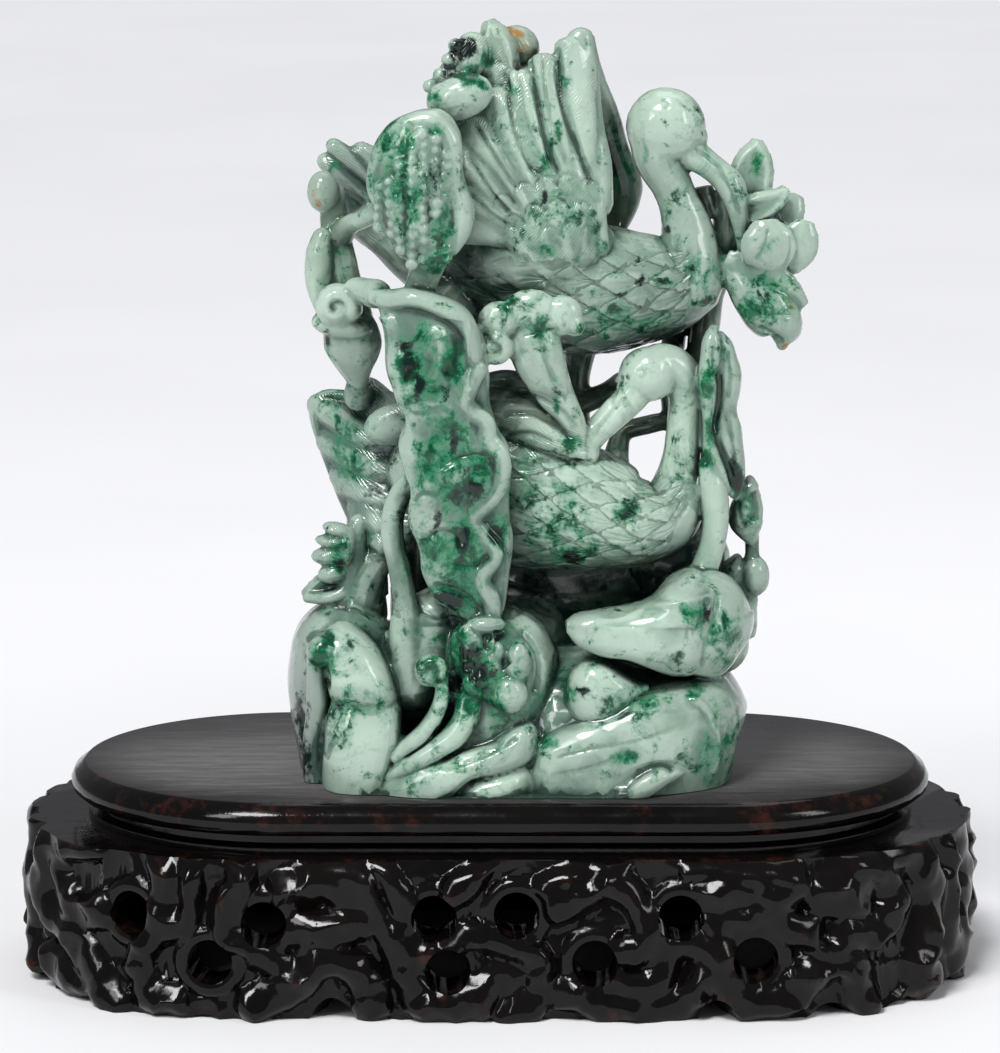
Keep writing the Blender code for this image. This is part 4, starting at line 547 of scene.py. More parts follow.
def upper_stork(clay):
    """The stork at the top, with a raised neck, a long bill bent down to the flower, and lifted wings."""
    clay.tube(UPPER_BODY, sides=20)
    clay.tube([
        (57.5, -6, 152, 12), (58.5, -6, 162, 9.6), (57.3, -6, 170.5, 7.7), (55.4, -6, 176.5, 6.6),
        (52.8, -6, 182.5, 6.6), (49.5, -6, 190, 8), (49, -6, 196, 9.5),
    ])
    clay.ball((51, -6, 200.2), (12.4, 12.2, 11), sides=20, rows=12)
    clay.ball((60.5, -7, 197), (3.5, 4, 4.5))
    clay.tube([
        (54, -7, 195, 5.6), (59, -8, 192, 5), (66, -8, 187, 4.2), (71, -9, 182, 4.6), (73.6, -9, 174, 3.3),
        (75, -9, 165.5, 2.4), (77, -9, 157, 2.5), (80.5, -9, 150.5, 1.8),
    ])
    near_wing(clay)
    clay.slab([
        (22, 228, 29, 228, -8, 3), (25, 216, 32, 215.5, -6, 8), (27, 203, 36, 206, -1, 14),
        (30, 190, 40.5, 191, 4, 18), (33, 179, 44.5, 181, 6, 20), (32, 170, 43.5, 174, 5, 20),
        (29, 160, 39, 165, 0, 18),
    ])
    clay.slab([
        (-47, 172, -30, 186, -5, 3), (-46, 166.9, -24.7, 176, -7, 4), (-41.7, 162.5, -18, 170, -9, 4),
        (-37.1, 158.2, -14, 164, -10, 4), (-32.8, 153.8, -10, 158, -10, 4), (-29.7, 150.7, -8, 152, -9, 4),
    ], square=0.8)
    clay.fan(
        [(-10, -3, 170), (-12, -3, 165), (-15, -3, 160), (-17, -3, 156), (-19, -3, 152)],
        [(-43, 0, 191), (-50, 0, 193.5), (-54, 1, 191), (-53, 2, 185.5), (-50, 3, 179), (-44.5, 4, 172)],
        5, 4.6, bow=(-1, 0, -1),
    )


def near_wing(clay):
    """The wing towards the viewer: broad feathers with blunt tips, and two rows of shorter ones over them."""
    clay.fan(
        [
            (27.6, -16, 182), (20.5, -18, 181.5), (15, -19, 181), (11.3, -20, 180), (8, -21, 178),
            (5.5, -21, 175), (4.3, -21, 171.5), (4.3, -20, 167),
        ],
        [
            (21, -11, 225.5), (12.6, -12, 220.5), (5, -13, 215.5), (-2.5, -15, 210), (-12, -16, 204.5),
            (-17, -17, 195), (-17.5, -18, 184), (-15, -19, 173),
        ],
        8, 3.6, spread=WING_SPREAD, bow=(0.5, -1.5, 0), backing=0.7,
    )
    clay.tube([
        (24.5, -9, 227.5, 4.2, 3.4), (26.2, -11, 215.5, 4, 3.8), (28.2, -13, 200, 4, 4.2),
        (29.8, -14, 189.5, 4.6, 5), (29, -14, 178, 6, 6.5),
    ])
    for roots, tips in [
        (
            [(30, -17, 175), (24, -19, 175), (17, -20.5, 174), (12.5, -21, 169.5)],
            [(27, -16.5, 193.5), (18.5, -17.7, 194), (8.5, -18.7, 192), (1, -20, 183)],
        ),
        (
            [(30, -18, 164), (20, -21.4, 163.5), (10.4, -22, 161)],
            [(27.5, -18.8, 179), (14.5, -20.8, 179), (0, -21.4, 175)],
        ),
    ]:
        clay.fan(roots, tips, len(roots) + 2, 2.2, spread=1.2 * FEATHER_SPREAD, bow=(0, -0.8, 0), backing=0.8)
    clay.ball((12, -13, 161), (24, 15, 11), along=(1, 0, 0.3), sides=20)


def lotus_flower(clay):
    """The flower that the upper bill reaches, with open petals and one large petal hanging below."""
    clay.ball((80, -3, 167), (8, 9.5, 7))
    clay.ball((84.5, -9, 163.5), (7.5, 8, 6))
    for rows, thickness, cup in [
        ([(76, -3, 177, 4), (77.3, -3, 183, 6.2), (78.5, -2, 190, 5), (79.5, -2, 195.5, 0.8)], 4, 0.35),
        ([(73, -7, 173.5, 4), (80.7, -8, 175.7, 4.2), (85.6, -7, 178.2, 2.6), (88.6, -6, 181, 1)], 3.6, 0.35),
        ([(65, 0, 171, 3), (62.5, -1, 176, 4), (61.5, -1, 181, 3.6)], 4, 0.3),
        ([(84, -11, 155.5, 3), (83, -15, 161, 7.5), (82, -16, 167, 7.4), (81.5, -14, 172, 3)], 3.4, -0.3),
        ([(85, -8, 156, 3), (89.5, -10, 161, 6), (92.4, -10, 166, 6), (94, -8, 171, 2)], 3.4, -0.3),
        ([(83.4, -5, 163, 4), (87, -4, 169.5, 5.8), (90.3, -2, 174.5, 4), (92, 0, 178, 1.4)], 3.4, -0.25),
        ([(70, -9, 160, 2), (79, -12, 155.5, 4.4), (87.5, -12, 150.5, 4.6), (94, -9, 145.5, 1)], 3.6, -0.3),
    ]:
        clay.leaf(rows, thickness, cup=cup)
    clay.tube([
        (71, -7, 157, 4, 4), (77, -9, 150.5, 7, 6), (83, -10, 144, 8.6, 7), (87.5, -10, 138, 6.5, 6),
        (87.3, -10, 133, 1.8, 2),
    ])
    clay.tube([
        (70, 0, 178, 3.8), (70, 1, 167, 4.4), (69, 2, 158, 5.2), (65, 4, 148, 5.3), (64, 4, 139, 5),
        (63, 4, 128, 4.8), (62, 5, 108, 5), (61, 5, 84, 6.5), (62, 4, 62, 8), (58, 2, 40, 9),
    ])
    clay.tube([(58, 0, 146, 6), (55.5, 7, 138, 4.3), (54, 8, 129, 3.8), (53, -4, 127, 4)])


def seed_pod(clay):
    """The lotus seed pod, its face, where the seeds stand, towards the viewer, and its rim on the right."""
    clay.slab([
        (-25, 208.5, -18, 209, -41, -34), (-31, 206, -14.5, 206.5, -42, -31),
        (-35.5, 202, -12, 202, -43, -29), (-38.5, 197, -11.5, 197, -43.5, -28),
        (-40, 190.5, -11.3, 190.5, -43.5, -28), (-40.3, 184.5, -9.7, 184.5, -43.5, -28),
        (-38.5, 180, -8, 180, -43.5, -28), (-33.5, 175, -7.7, 175, -43.5, -28),
        (-29.6, 169.5, -10.3, 169.5, -43, -28), (-27.2, 164, -13.9, 164, -42, -28),
        (-25, 160.5, -18.5, 160.5, -40, -29),
    ], sides=22, square=0.8)
    clay.tube([
        (-28, -39.6, 204.6, 3, 3.2), (-20.5, -40.5, 204.8, 3.8, 3.4), (-16, -41, 200.5, 3.8, 3.4),
        (-14.8, -41, 194, 3.6, 3.4), (-14.8, -41, 187.5, 3.6, 3.4), (-12.4, -41, 180.5, 3.8, 3.4),
        (-12, -41, 174, 3.8, 3.4), (-15, -40.5, 167.5, 3.2, 3),
    ], sides=10)
    clay.ball((-26.5, -41.5, 184), (10.5, 21, 4.2), rows=11, sides=18)
    seeds(clay)
    clay.tube([(-49, -14, 168, 4.4), (-45.5, -18, 171.5, 3.4), (-41, -24, 174, 3), (-34, -31, 179, 3.8)])
    clay.tube([(-21.5, -34, 163, 6), (-23.5, -33, 156, 4.8), (-27, -34, 147, 5)])


def seeds(clay):
    """Seeds in upright columns over the pod's face, largest in the middle."""
    # Heights on the pod, with the left and right sides of its face there.
    sides = [
        (161, -25, -15.5), (166, -30, -14.5), (174, -37.5, -12.4), (181, -38.8, -12.8), (187, -38, -14),
        (190, -31, -14.6), (194, -30, -15.2), (200, -28.5, -17), (204, -26, -19),
    ]
    height, left, right = np.array(sides).T
    for column in range(SEED_COLUMNS):
        x = SEEDS_LEFT + SEED_PITCH * column
        for row in range(SEED_ROWS):
            z = SEEDS_FOOT + 0.95 * SEED_PITCH * (row + 0.5 * (column % 2))
            if z > 203.5 or not np.interp(z, height, left) < x < np.interp(z, height, right):
                continue
            across = abs(x + 25) / 14.8
            plate = -35.75 - 7.75 * max(0.05, 1 - across**2.5) ** 0.4
            dome = 1 - ((x + 26.5) / 10.5) ** 2 - ((z - 184) / 21) ** 2
            front = min(plate, -41.5 - 4.2 * math.sqrt(max(0, dome)))
            uneven = 1 + 0.13 * math.sin(5 * row + 11 * column)
            bulge = 1.02 + 0.25 * math.exp(-(((x + 22) / 6) ** 2) - ((z - 180) / 14) ** 2)
            size = SEED_RADIUS * uneven * bulge
            x += 0.35 * math.sin(7 * row + 3 * column)
            clay.ball((x, front - 0.35, z), (size, size, 1.15 * size), rows=7, sides=10)


def top_cluster(clay):
    """The rolled leaf, the seed head seen from its edge and the small petals at the top left."""
    clay.ball((-12.3, -22, 211), (10.5, 7.2, 7), along=(1, 0, 0.28))
    clay.tube([(-17, -14, 214, 4), (-11, -13, 220, 6), (-8.5, -13, 225, 5)])
    for x, z in [(-13.5, 226), (-15.6, 221.5), (-18.2, 217), (-21.3, 213.5)]:
        clay.ball((x, -16, z), (2.5,) * 3, rows=5, sides=8)
    clay.leaf([(0, -8, 212, 4), (-0.5, -9, 220, 5.5), (-1.5, -8, 227, 4.6), (-3.7, -7, 233, 0.8)], 6, cup=0.3)
    clay.ball((5, -1, 224), (7, 7.5, 6), along=(0.5, 0, 1))
    clay.tube([(0, -7, 216, 7), (1, -5, 200, 7), (6, -2, 180, 8), (10, -2, 165, 9)])


def left_stems(clay):
    """The knobbed stem on the left, with the leaf that curls over at the top of the draped one."""
    clay.tube([
        (-45, -16, 142, 6), (-47, -15, 151, 5.2), (-49.5, -13, 162, 4.7), (-51, -12, 172, 4.5),
        (-51, -11, 180, 3.6),
    ])
    clay.ball((-54.3, -14, 181), (5, 6.6, 5))
    clay.tube([(-54.6, -16, 167, 3.4), (-55.6, -17, 161, 4.4), (-55.4, -17, 153, 4.4), (-52, -18, 146, 5)])
    clay.curl((-50, -27, 147.5), 8.3, 1.3, 3.4, 6, start=math.radians(-10), hand=1)
    clay.tube([(-43, -27, 153, 3.8, 6), (-38, -31, 152, 4.6, 6)])
    clay.ball((-48.5, -22, 141), (9.6, 4.4, 6.4), along=(1, 0, -0.15))
    clay.tube([
        (-46, -19, 139, 8.6, 6.4), (-45, -18, 133.5, 9, 6.4), (-44.6, -15, 128, 6.4, 6),
        (-44, -12, 122.5, 3.9, 4.4), (-44, -5, 116, 5),
    ])


def draped_leaf(clay):
    """The large lotus leaf hanging down the middle, puckered, with a double waved edge on its right."""
    edge = [
        (-7, 131), (-9, 127), (-10.8, 121.5), (-8.8, 117.5), (-5, 114.5), (-4, 109.5), (0, 103), (-1.5, 93.5),
        (-8.5, 85), (-6, 80), (-2, 74), (-6, 66), (-3, 58.5), (-3, 50.5),
    ]
    clay.slab([
        (-37, 150, -35, 152.5, -39, -31), (-35, 140, -19, 149.5, -43, -32), (-34.7, 129.5, -8, 139, -45, -34),
        (-31, 120.5, -8, 128, -46, -35), (-29, 115.5, -10, 121, -46, -35), (-31, 107, -5, 113, -46, -35),
        (-29, 99, 0, 103, -46, -36), (-27.3, 93, -1, 94, -47, -36), (-28, 83, -7, 85, -47, -36),
        (-25, 75, -3, 76, -47, -36), (-24, 67, -5, 67, -46, -36), (-19.5, 59, -3, 58, -45, -36),
        (-7, 50, -3, 50, -43, -38),
    ], sides=22, square=0.5)
    clay.tube([(x + 0.6, -44.7, z, 2.8, 2.3) for x, z in edge], sides=12, steps=4)
    clay.slab([
        (-20, 146, -18, 150, -43, -33), (-10, 139, -6.5, 142.5, -42, -32), (-12, 129.5, -3.4, 130, -44, -32),
        (-12, 121, -3, 121, -44, -32), (-9, 113, -0.5, 112, -44, -32), (-6, 104, 3, 105, -44, -33),
        (-8, 92, 3, 91, -44.5, -34), (-11, 84, 3, 84, -44.5, -34), (-8, 76, 4, 77, -44.5, -34),
        (-8, 66, 3, 67, -44, -34), (-6, 57, 1.5, 56, -43.5, -35), (-4, 51, -1.5, 50.5, -42, -38),
    ])
    clay.slab([
        (-40, 149.5, -40, 154, -38, -30), (-34, 148, -33.5, 154, -42, -32), (-27, 149, -26.5, 155, -45, -33),
        (-19, 146.5, -17, 152.5, -46.5, -33), (-13, 142, -9.5, 148, -47, -33),
        (-10.5, 136, -5.5, 139, -47, -34), (-9.5, 130, -5, 131, -46, -35),
    ], square=0.8)
    for x, z, wide, high in [(-20, 122, 10, 8), (-17, 106, 12, 10), (-18.5, 88, 9, 10), (-14, 71, 9, 9)]:
        clay.ball((x, -42, z), (wide, high, 4.6))
    clay.tube([
        (-27, -36, 95, 3), (-30, -33, 91, 3.6), (-32.7, -32, 84, 3.6), (-33, -31, 76, 3.6),
        (-31, -31, 67.5, 3.6), (-29.4, -32, 56, 4), (-28.5, -32, 44, 6), (-27, -30, 30, 9),
    ])
    clay.tube([(-20, -34, 140, 8), (-20, -22, 140, 8), (-14, -10, 146, 9)])
    clay.tube([(-14, -38, 100, 10), (-12, -24, 97, 10), (-10, -12, 94, 10)])
    clay.tube([(-8, -38, 60, 7), (-8, -28, 52, 9), (-8, -20, 38, 12)])


def middle_leaf(clay):
    """The small lobed leaf in the middle, with its curl and the wedge of stem that hangs from it."""
    for x, z, wide, high in [
        (0, 143.5, 7, 6.5), (9.5, 146.5, 9, 7), (19, 145.5, 6.3, 6.3), (23, 142.5, 3, 3.5),
    ]:
        clay.ball((x, -32, z), (wide, high, 4.5))
    clay.curl((-1.5, -34, 135.3), 6.3, 1.25, 2.7, 4.5, start=math.radians(80), hand=-1)
    clay.tube([
        (9, -31, 140, 9, 4.5), (12.5, -31, 130, 7.6, 4.5), (16.5, -30, 121.5, 6, 4.3),
        (21, -29, 114.5, 4.2, 4), (24, -27, 108, 3.6, 3.8), (27, -25, 102, 3.8, 4),
    ])
    clay.tube([(10, -30, 142, 7), (10, -18, 142, 7)])


def lower_stork(clay):
    """The lower stork, its neck bent round so that the bill lies on its own back, with a folded wing."""
    clay.tube(LOWER_BODY, sides=20)
    clay.tube([
        (54, -18, 86, 9), (55.3, -18, 94, 6.8), (56.4, -18, 102, 5.8), (57, -18, 111, 5.4),
        (57.2, -18, 118.5, 5.5), (55, -18, 125.5, 6.4), (50, -19, 128, 7), (46, -20, 126, 8),
    ])
    clay.ball((45.8, -20, 125.5), (9.4, 8.8, 8.6), along=(1, 0, 0.4), sides=18, rows=12)
    clay.tube([
        (42, -21, 121.5, 6), (39.6, -22, 117.8, 5.2), (34.3, -23, 112.5, 4.6), (29.5, -24, 107.8, 4.3),
        (26, -25, 103, 4),
    ])
    clay.tube([
        (-8, -16, 112, 9, 9), (4, -20, 112, 9, 8), (14, -25, 108, 6.5, 6), (21, -28, 104.5, 4, 4),
        (25.5, -29, 102, 1.5, 2),
    ])
    clay.tube([(-8, -14, 116, 8), (2, -14, 121, 5), (8, -18, 121, 4)])
    clay.fan(
        [
            (-22, -8, 112), (-22, -10, 104), (-22, -12, 97), (-23, -13, 91), (-24, -14, 85), (-26, -15, 80),
            (-28, -15, 76), (-30, -15, 73),
        ],
        [
            (-44, 4, 114.5), (-55.5, 7, 113.5), (-57, 7, 109), (-54.5, 5, 102.5), (-52, 3, 96.5),
            (-49, 0, 90), (-45.5, -4, 84), (-42, -7, 79), (-38.5, -9, 75.5),
        ],
        6, 4.6, bow=(-1, -3, -3),
    )
    clay.tube([
        (-46, 4, 114.5, 2, 2.4), (-55, 6, 114, 2.2, 2.6), (-58, 6, 109, 2.2, 2.8), (-54.5, 5, 98, 2.4, 3),
        (-50, 2, 87, 2.6, 3.2), (-45, -3, 77, 2.8, 3.4), (-40, -7, 70, 3, 3.4),
    ], sides=10)
    clay.ball((-33, -16, 109), (9.5, 6.5, 4.5), along=(1, 0, 0.25))


def right_leaf(clay):
    """The folded leaf on the right, with the tusk-shaped stem, the bud and the small pod below it."""
    clay.slab([
        (64.6, 140.8, 67, 140.8, -22, -18), (62.2, 137, 67.7, 137, -25, -17),
        (61.3, 130.8, 67.7, 130.8, -27, -17), (60.7, 123.1, 66.9, 123.1, -28, -18),
        (61.7, 115.3, 66.3, 115.3, -27, -18), (62.4, 109.1, 66.1, 109.1, -27, -18),
        (62.4, 102.2, 67.7, 102.2, -27, -18), (64, 97.8, 69.6, 97.8, -27, -17),
        (67.1, 93.4, 71.1, 93.4, -26, -16), (69.6, 88.7, 72.4, 88.7, -23, -15),
        (71.2, 86.2, 72.7, 86.2, -20, -15),
    ])
    clay.slab([
        (66, 138.1, 68.8, 138.1, -20, -14), (66, 134.7, 71.6, 134.7, -22, -13),
        (65, 130, 73.2, 130, -23, -12), (65, 125.4, 74.5, 125.4, -23, -12),
        (65, 119.1, 74.2, 119.1, -22.5, -12), (65, 113.8, 73.3, 113.8, -22, -12),
        (65, 108.2, 74.6, 108.2, -22.5, -12), (66, 101.9, 75.3, 101.9, -23, -12),
        (68, 95.7, 76, 95.7, -22, -11), (69.5, 91, 76, 91, -21, -11), (71.1, 87.5, 75.1, 87.5, -20, -11),
        (72.4, 85, 73.9, 85, -18, -12),
    ])
    clay.tube([
        (64, -24, 97.5, 3), (65.7, -24, 90, 4.2), (66.7, -24, 82, 4.2), (65.5, -24, 72.5, 4),
        (62.4, -25, 63, 4.5),
    ])
    clay.slab([
        (76.7, 91.7, 78.6, 91.7, -14, -9), (75.3, 89.2, 80.2, 89.2, -16, -8), (73, 86, 81.5, 86, -17, -7),
        (71.5, 82.5, 82.4, 82.5, -17.5, -7), (71, 79, 82.2, 79, -17.5, -7), (71.6, 75.9, 81.6, 75.9, -17, -7),
        (74.1, 73, 80.4, 73, -16, -8), (77, 70.4, 79.6, 70.4, -14, -9),
    ])
    clay.tube([(78, -11, 76, 3), (78.6, -11, 70, 2.3), (78.6, -12, 62, 2.6)])
    clay.ball((79.5, -12, 60.3), (4.8, 6.6, 5.2))
    clay.slab([
        (73.4, 66.2, 75.3, 66.2, -12, -5), (69.4, 63, 76.6, 63, -15, -3), (67.6, 58.5, 76.6, 58.5, -16, -3),
        (69.5, 54.7, 78.6, 54.7, -16, -3), (72, 50.5, 80.4, 50.5, -16, -3), (75, 46, 80.5, 46.3, -15, -3),
        (76, 41, 80, 41, -14, -4),
    ])
    clay.tube([(76, -10, 52, 5), (71, -8, 50, 7), (66, -6, 40, 8)])
    clay.tube([(68, -16, 106, 4), (65, -6, 106, 4.5), (62, 4, 104, 4.5)])


def rocks(clay):
    """The boulders, rolled leaves and lobes that the plants and both birds rise from."""
    clay.slab([
        (-50, 53.5, -47, 53.5, -14, -6), (-59, 49, -40, 49, -26, 4), (-64, 43, -34, 43, -30, 10),
        (-66, 33, -30, 34, -32, 14), (-66, 20, -28, 20, -32, 16), (-64, 8, -28, 8, -33, 16),
        (-61, -4, -28, -4, -33, 15),
    ], sides=24, square=0.75)
    clay.slab([
        (-50, 50.5, -47, 50.5, -37, -30), (-53.5, 47.8, -43, 47.8, -43, -22),
        (-55, 43.5, -38.5, 43.5, -46.5, -20), (-54, 38.5, -35, 38.5, -48.5, -20),
        (-53, 33, -32.5, 33, -50, -20), (-52, 28.6, -31, 29, -49.2, -20), (-51.5, 26, -30.6, 26.8, -48, -20),
        (-52.6, 23, -30, 24, -49.2, -20), (-54, 19, -29.6, 20, -50.6, -20),
        (-54.8, 14, -29.5, 15, -51.5, -20), (-55.2, 7, -31.5, 7, -52, -20), (-54.5, -4, -34, -4, -51, -20),
    ], sides=24, square=0.7)
    clay.ball((-54.6, -43, 43), (4.2, 4.6, 4))
    clay.tube([(-56, -36, 38, 3), (-56.5, -36, 24, 3.4), (-57.5, -34, 8, 3.6), (-57, -33, -4, 3.6)])
    clay.slab([
        (-10, 56, 2, 54, -36, -22), (-14, 52, 9, 51, -41, -10), (-17, 46, 14, 46, -44, -5),
        (-18, 38, 17.8, 38, -46, -4), (-18, 29, 18.2, 29, -47, -4), (-20, 19, 15, 20, -48, -4),
        (-24, 8, 12, 10, -49, -4), (-26, -4, 10, -4, -49, -4),
    ], sides=24, square=0.8)
    for centre, radii, along in [
        ((-34, 14, 14), (26, 30, 26), (1, 0, 0)), ((-14, 24, 22), (22, 28, 24), (1, 0.3, 0.2)),
        ((2, 6, 22), (26, 30, 34), (1, 0, 0)), ((22, 26, 16), (26, 27, 24), (1, -0.4, 0)),
        ((34, 14, 28), (24, 24, 24), (1, 0, 0.4)), ((52, 12, 12), (20, 26, 24), (1, 0, 0)),
        ((26, -18, 14), (34, 30, 26), (1, 0, 0)), ((-50, 6, 24), (13, 20, 14), (0.2, 0, 1)),
        ((8, 32, 36), (12, 15, 11), (1, 0, -0.4)), ((26, 12, 56), (32, 14, 20), (1, 0, 0.1)),
        ((56, 4, 62), (16, 13, 17), (0.4, 0, 1)), ((-24, -24, 38), (22, 14, 13), (0.3, 0, 1)),
    ]:
        clay.ball(centre, (radii[0], radii[2], radii[1]), along=along, rows=11, sides=22)
    clay.slab([
        (20.2, 49, 20.2, 52.5, -46, -38), (23.8, 44.5, 23.8, 54.2, -49, -32), (31, 41.3, 31, 55, -50, -28),
        (39, 40, 39, 56, -50, -24), (47, 37, 46.5, 58, -50.5, -20), (53, 34.8, 52.5, 63.5, -50.5, -14),
        (58.8, 34.3, 58.5, 66.5, -49.5, -12), (64, 37, 63.6, 65, -45, -14),
    ], sides=22, square=0.7)
    clay.slab([
        (54, 36, 55, 61, -47, -14), (61, 33, 62, 65.5, -47, -13), (66.5, 32, 68.5, 64.5, -44.5, -12),
        (71.5, 35, 73.6, 60.5, -40, -13), (75.5, 40.5, 77, 54.5, -33, -15), (77.5, 45, 78, 50, -27, -18),
    ], sides=20, square=0.8)
    clay.tube([(34, -26, 44, 6), (44, -24, 44, 10), (60, -18, 46, 12), (68, -14, 40, 10)])
    clay.slab([
        (20.5, 26, 20.5, 33, -45, -38), (23.4, 21.6, 23.2, 37.5, -48.5, -34),
        (28, 19.8, 27.6, 40.6, -50, -32), (33, 21.4, 33, 39.5, -50, -32), (38, 25, 38, 36, -48.5, -32),
        (42.5, 29, 42.5, 32.6, -45.5, -34), (45.4, 31, 45.4, 32, -43, -38),
    ])
    clay.slab([
        (0, -11, 0, 8, -42, -24), (4, -13, 4, 12, -46, -20), (9.5, -13, 10, 14, -49, -20),
        (13.8, -13, 14, 18.5, -52.5, -20), (23, -13, 23, 22.5, -54, -18), (33.6, -13, 33.6, 26, -54, -14),
        (44.4, -13, 44.4, 30.5, -53, -10), (58, -13, 58, 33, -49, -6), (66, -12, 68, 33.5, -44, -2),
        (70.4, -6, 74, 26, -37, -2), (72, 0, 77, 20, -29, -8),
    ], sides=24, square=0.62)
    clay.tube([(36, -52, -1, 4, 4), (43, -53, 3, 4.2, 4), (50, -51, 6, 3, 3.4), (54, -48, 6, 1.6, 3)])
    rolled_leaf(clay)
    small_flower(clay)


def rolled_leaf(clay):
    """The dark curled leaf at the foot, its two bands and the light folds below them."""
    clay.slab([
        (-9, 54, -1, 54, -42, -34), (-14, 50.5, 3.5, 50.5, -45, -34), (-15.8, 46, 7, 46, -47.5, -34),
        (-15.4, 41.5, 8.4, 41.5, -48.5, -34), (-14.6, 37, 8.6, 37, -49, -34), (-12, 33, 8, 33, -49, -35),
        (-7, 29.5, 6.8, 29, -48.5, -36), (-3, 26.4, 4.5, 25.8, -47, -38),
    ], sides=22, square=0.8)
    for x, y, z, wide, high, deep in [
        (-9.5, -47, 46, 4.6, 6.5, 3.6), (-4, -46, 52, 6, 3, 4), (6, -47.5, 41, 4, 7, 4),
        (3.6, -48.5, 31, 5, 5.4, 4), (-8, -48, 34, 4.5, 4.5, 3.6), (-1.5, -48, 43, 3, 6, 3),
    ]:
        clay.ball((x, y, z), (wide, high, deep))
    clay.curl((-21.5, -47, 38), 6.4, 1.2, 2.6, 4, start=math.radians(-20), hand=1)
    clay.slab([
        (-20, 36, -14.6, 36.5, -49, -41), (-19.8, 31.5, -14.2, 32.5, -50.5, -40),
        (-20.8, 27, -15.4, 27.5, -51.5, -40), (-22.6, 23.2, -18, 22, -52, -40),
        (-26, 19.2, -22, 16.4, -52, -40), (-30, 16, -27.6, 12.4, -51.5, -40),
        (-33.5, 11.8, -31.6, 8.6, -50, -40),
    ], sides=16, square=0.8)
    clay.slab([
        (-14.2, 32, -5, 31, -49, -40), (-14.2, 28, -6, 26, -51, -40), (-15, 24, -7.2, 21.5, -53, -40),
        (-18.2, 19.2, -11.5, 15.8, -54, -40), (-24.4, 14.4, -18.4, 11.4, -54, -40),
        (-30.8, 9.8, -27, 6.6, -53, -40), (-35.5, 5.6, -34, 2.6, -50, -40),
    ], sides=16, square=0.8)
    clay.slab([
        (-37.6, -4, -37.4, 1.6, -48, -42), (-35.6, -6, -35, 4.6, -51, -40), (-30, -9, -29, 7, -54, -38),
        (-24.5, -9, -25, 9, -55, -38), (-15.5, -2, -17, 10.6, -56, -38), (-9.2, 4.6, -10.7, 13, -56, -38),
        (-2.4, 5.6, -3.2, 16, -55.5, -38), (4, 7, 3.8, 20, -54.5, -38), (8.8, 9, 9.6, 21.6, -52, -40),
        (11.6, 12, 12, 19, -48, -42),
    ], sides=20, square=0.75)
    clay.slab([
        (-19, -9, -18.4, -3.4, -49, -42), (-15, -9, -14, 1.5, -51.5, -40), (-8, -9, -7, 5, -54, -38),
        (1, -9, 1.5, 7.4, -54.5, -38), (6, -7, 7.4, 8.6, -52, -38), (9.6, -3, 10.4, 6, -48, -40),
    ], square=0.75)


def small_flower(clay):
    """The small layered flower beside the left boulder, with its stalk and leaf."""
    for x, z, wide, high, lean in [
        (-50.5, 76, 5, 2.2, 0.25), (-51.6, 72, 6, 2.2, 0.15), (-52.6, 67.5, 6.2, 3, 0),
        (-51.8, 62, 5, 3.4, -0.2), (-47.6, 70, 3, 7, 0.1),
    ]:
        clay.ball((x, -16, z), (wide, high, 4.6), along=(1, 0, -lean), rows=8, sides=12)
    clay.tube([(-44, -13, 77, 3), (-45.5, -14, 68, 4), (-47, -14, 56, 5)])
    clay.leaf([(-46, -13, 59, 4), (-54, -13, 57, 4.2), (-61.5, -12, 53.5, 1.2)], 4, cup=0.3)
    clay.tube([(-44, -16, 58, 2.4), (-52, -17, 54.5, 2.6), (-60, -15, 54, 1.6)])
    clay.tube([(-34, -12, 70, 4), (-41, -13, 61, 6), (-46, -12, 48, 9)])


def back_growth(clay):
    """The plain stems and leaf behind, which carry both birds where the front doesn't show them."""
    clay.tube([(-24, 14, 38, 10), (-24, 10, 70, 9), (-20, 6, 96, 9), (-14, 6, 120, 8), (-8, 4, 148, 9)])
    clay.tube([(18, 14, 42, 10), (20, 10, 64, 9), (22, 0, 78, 9)])
    clay.tube([(22, -2, 96, 5), (24.5, 5, 106, 4), (24.2, 5, 120, 4), (26, 2, 136, 6)])
    clay.tube([(25, 4, 112, 4), (33, 3, 115.5, 3.5), (38, -4, 120, 3.6), (41, -14, 122, 4)])
    clay.tube([
        (50, -8, 124, 3.4), (52, 3, 118, 2.8), (53, 4, 108, 2.8), (47, 4, 105.5, 3), (39, 4, 103, 3.2),
        (36.5, 0, 97, 4), (36, -6, 92, 5),
    ])
    clay.tube([(53, 4, 106, 3), (62, 5, 106, 4)])
    clay.slab([
        (-18, 118, -10, 118, 8, 16), (-26, 108, 2, 106, 12, 20), (-26, 94, 12, 92, 16, 23),
        (-22, 78, 16, 76, 18, 25), (-14, 60, 14, 58, 18, 27), (-6, 44, 8, 44, 18, 30),
    ])
    clay.tube([(-8, 20, 84, 6), (-8, 4, 86, 9)])
    clay.tube([(-34, -2, 96, 8), (-40, -2, 84, 7), (-42, -2, 66, 7), (-44, 0, 46, 9)])


def jade_clay():
    """Every form of the carving, which stays one piece of stone."""
    clay = Clay()
    for form in (
        upper_stork, lotus_flower, seed_pod, top_cluster, left_stems, draped_leaf, middle_leaf, lower_stork,
        right_leaf, rocks, back_growth,
    ):
        form(clay)
    return clay


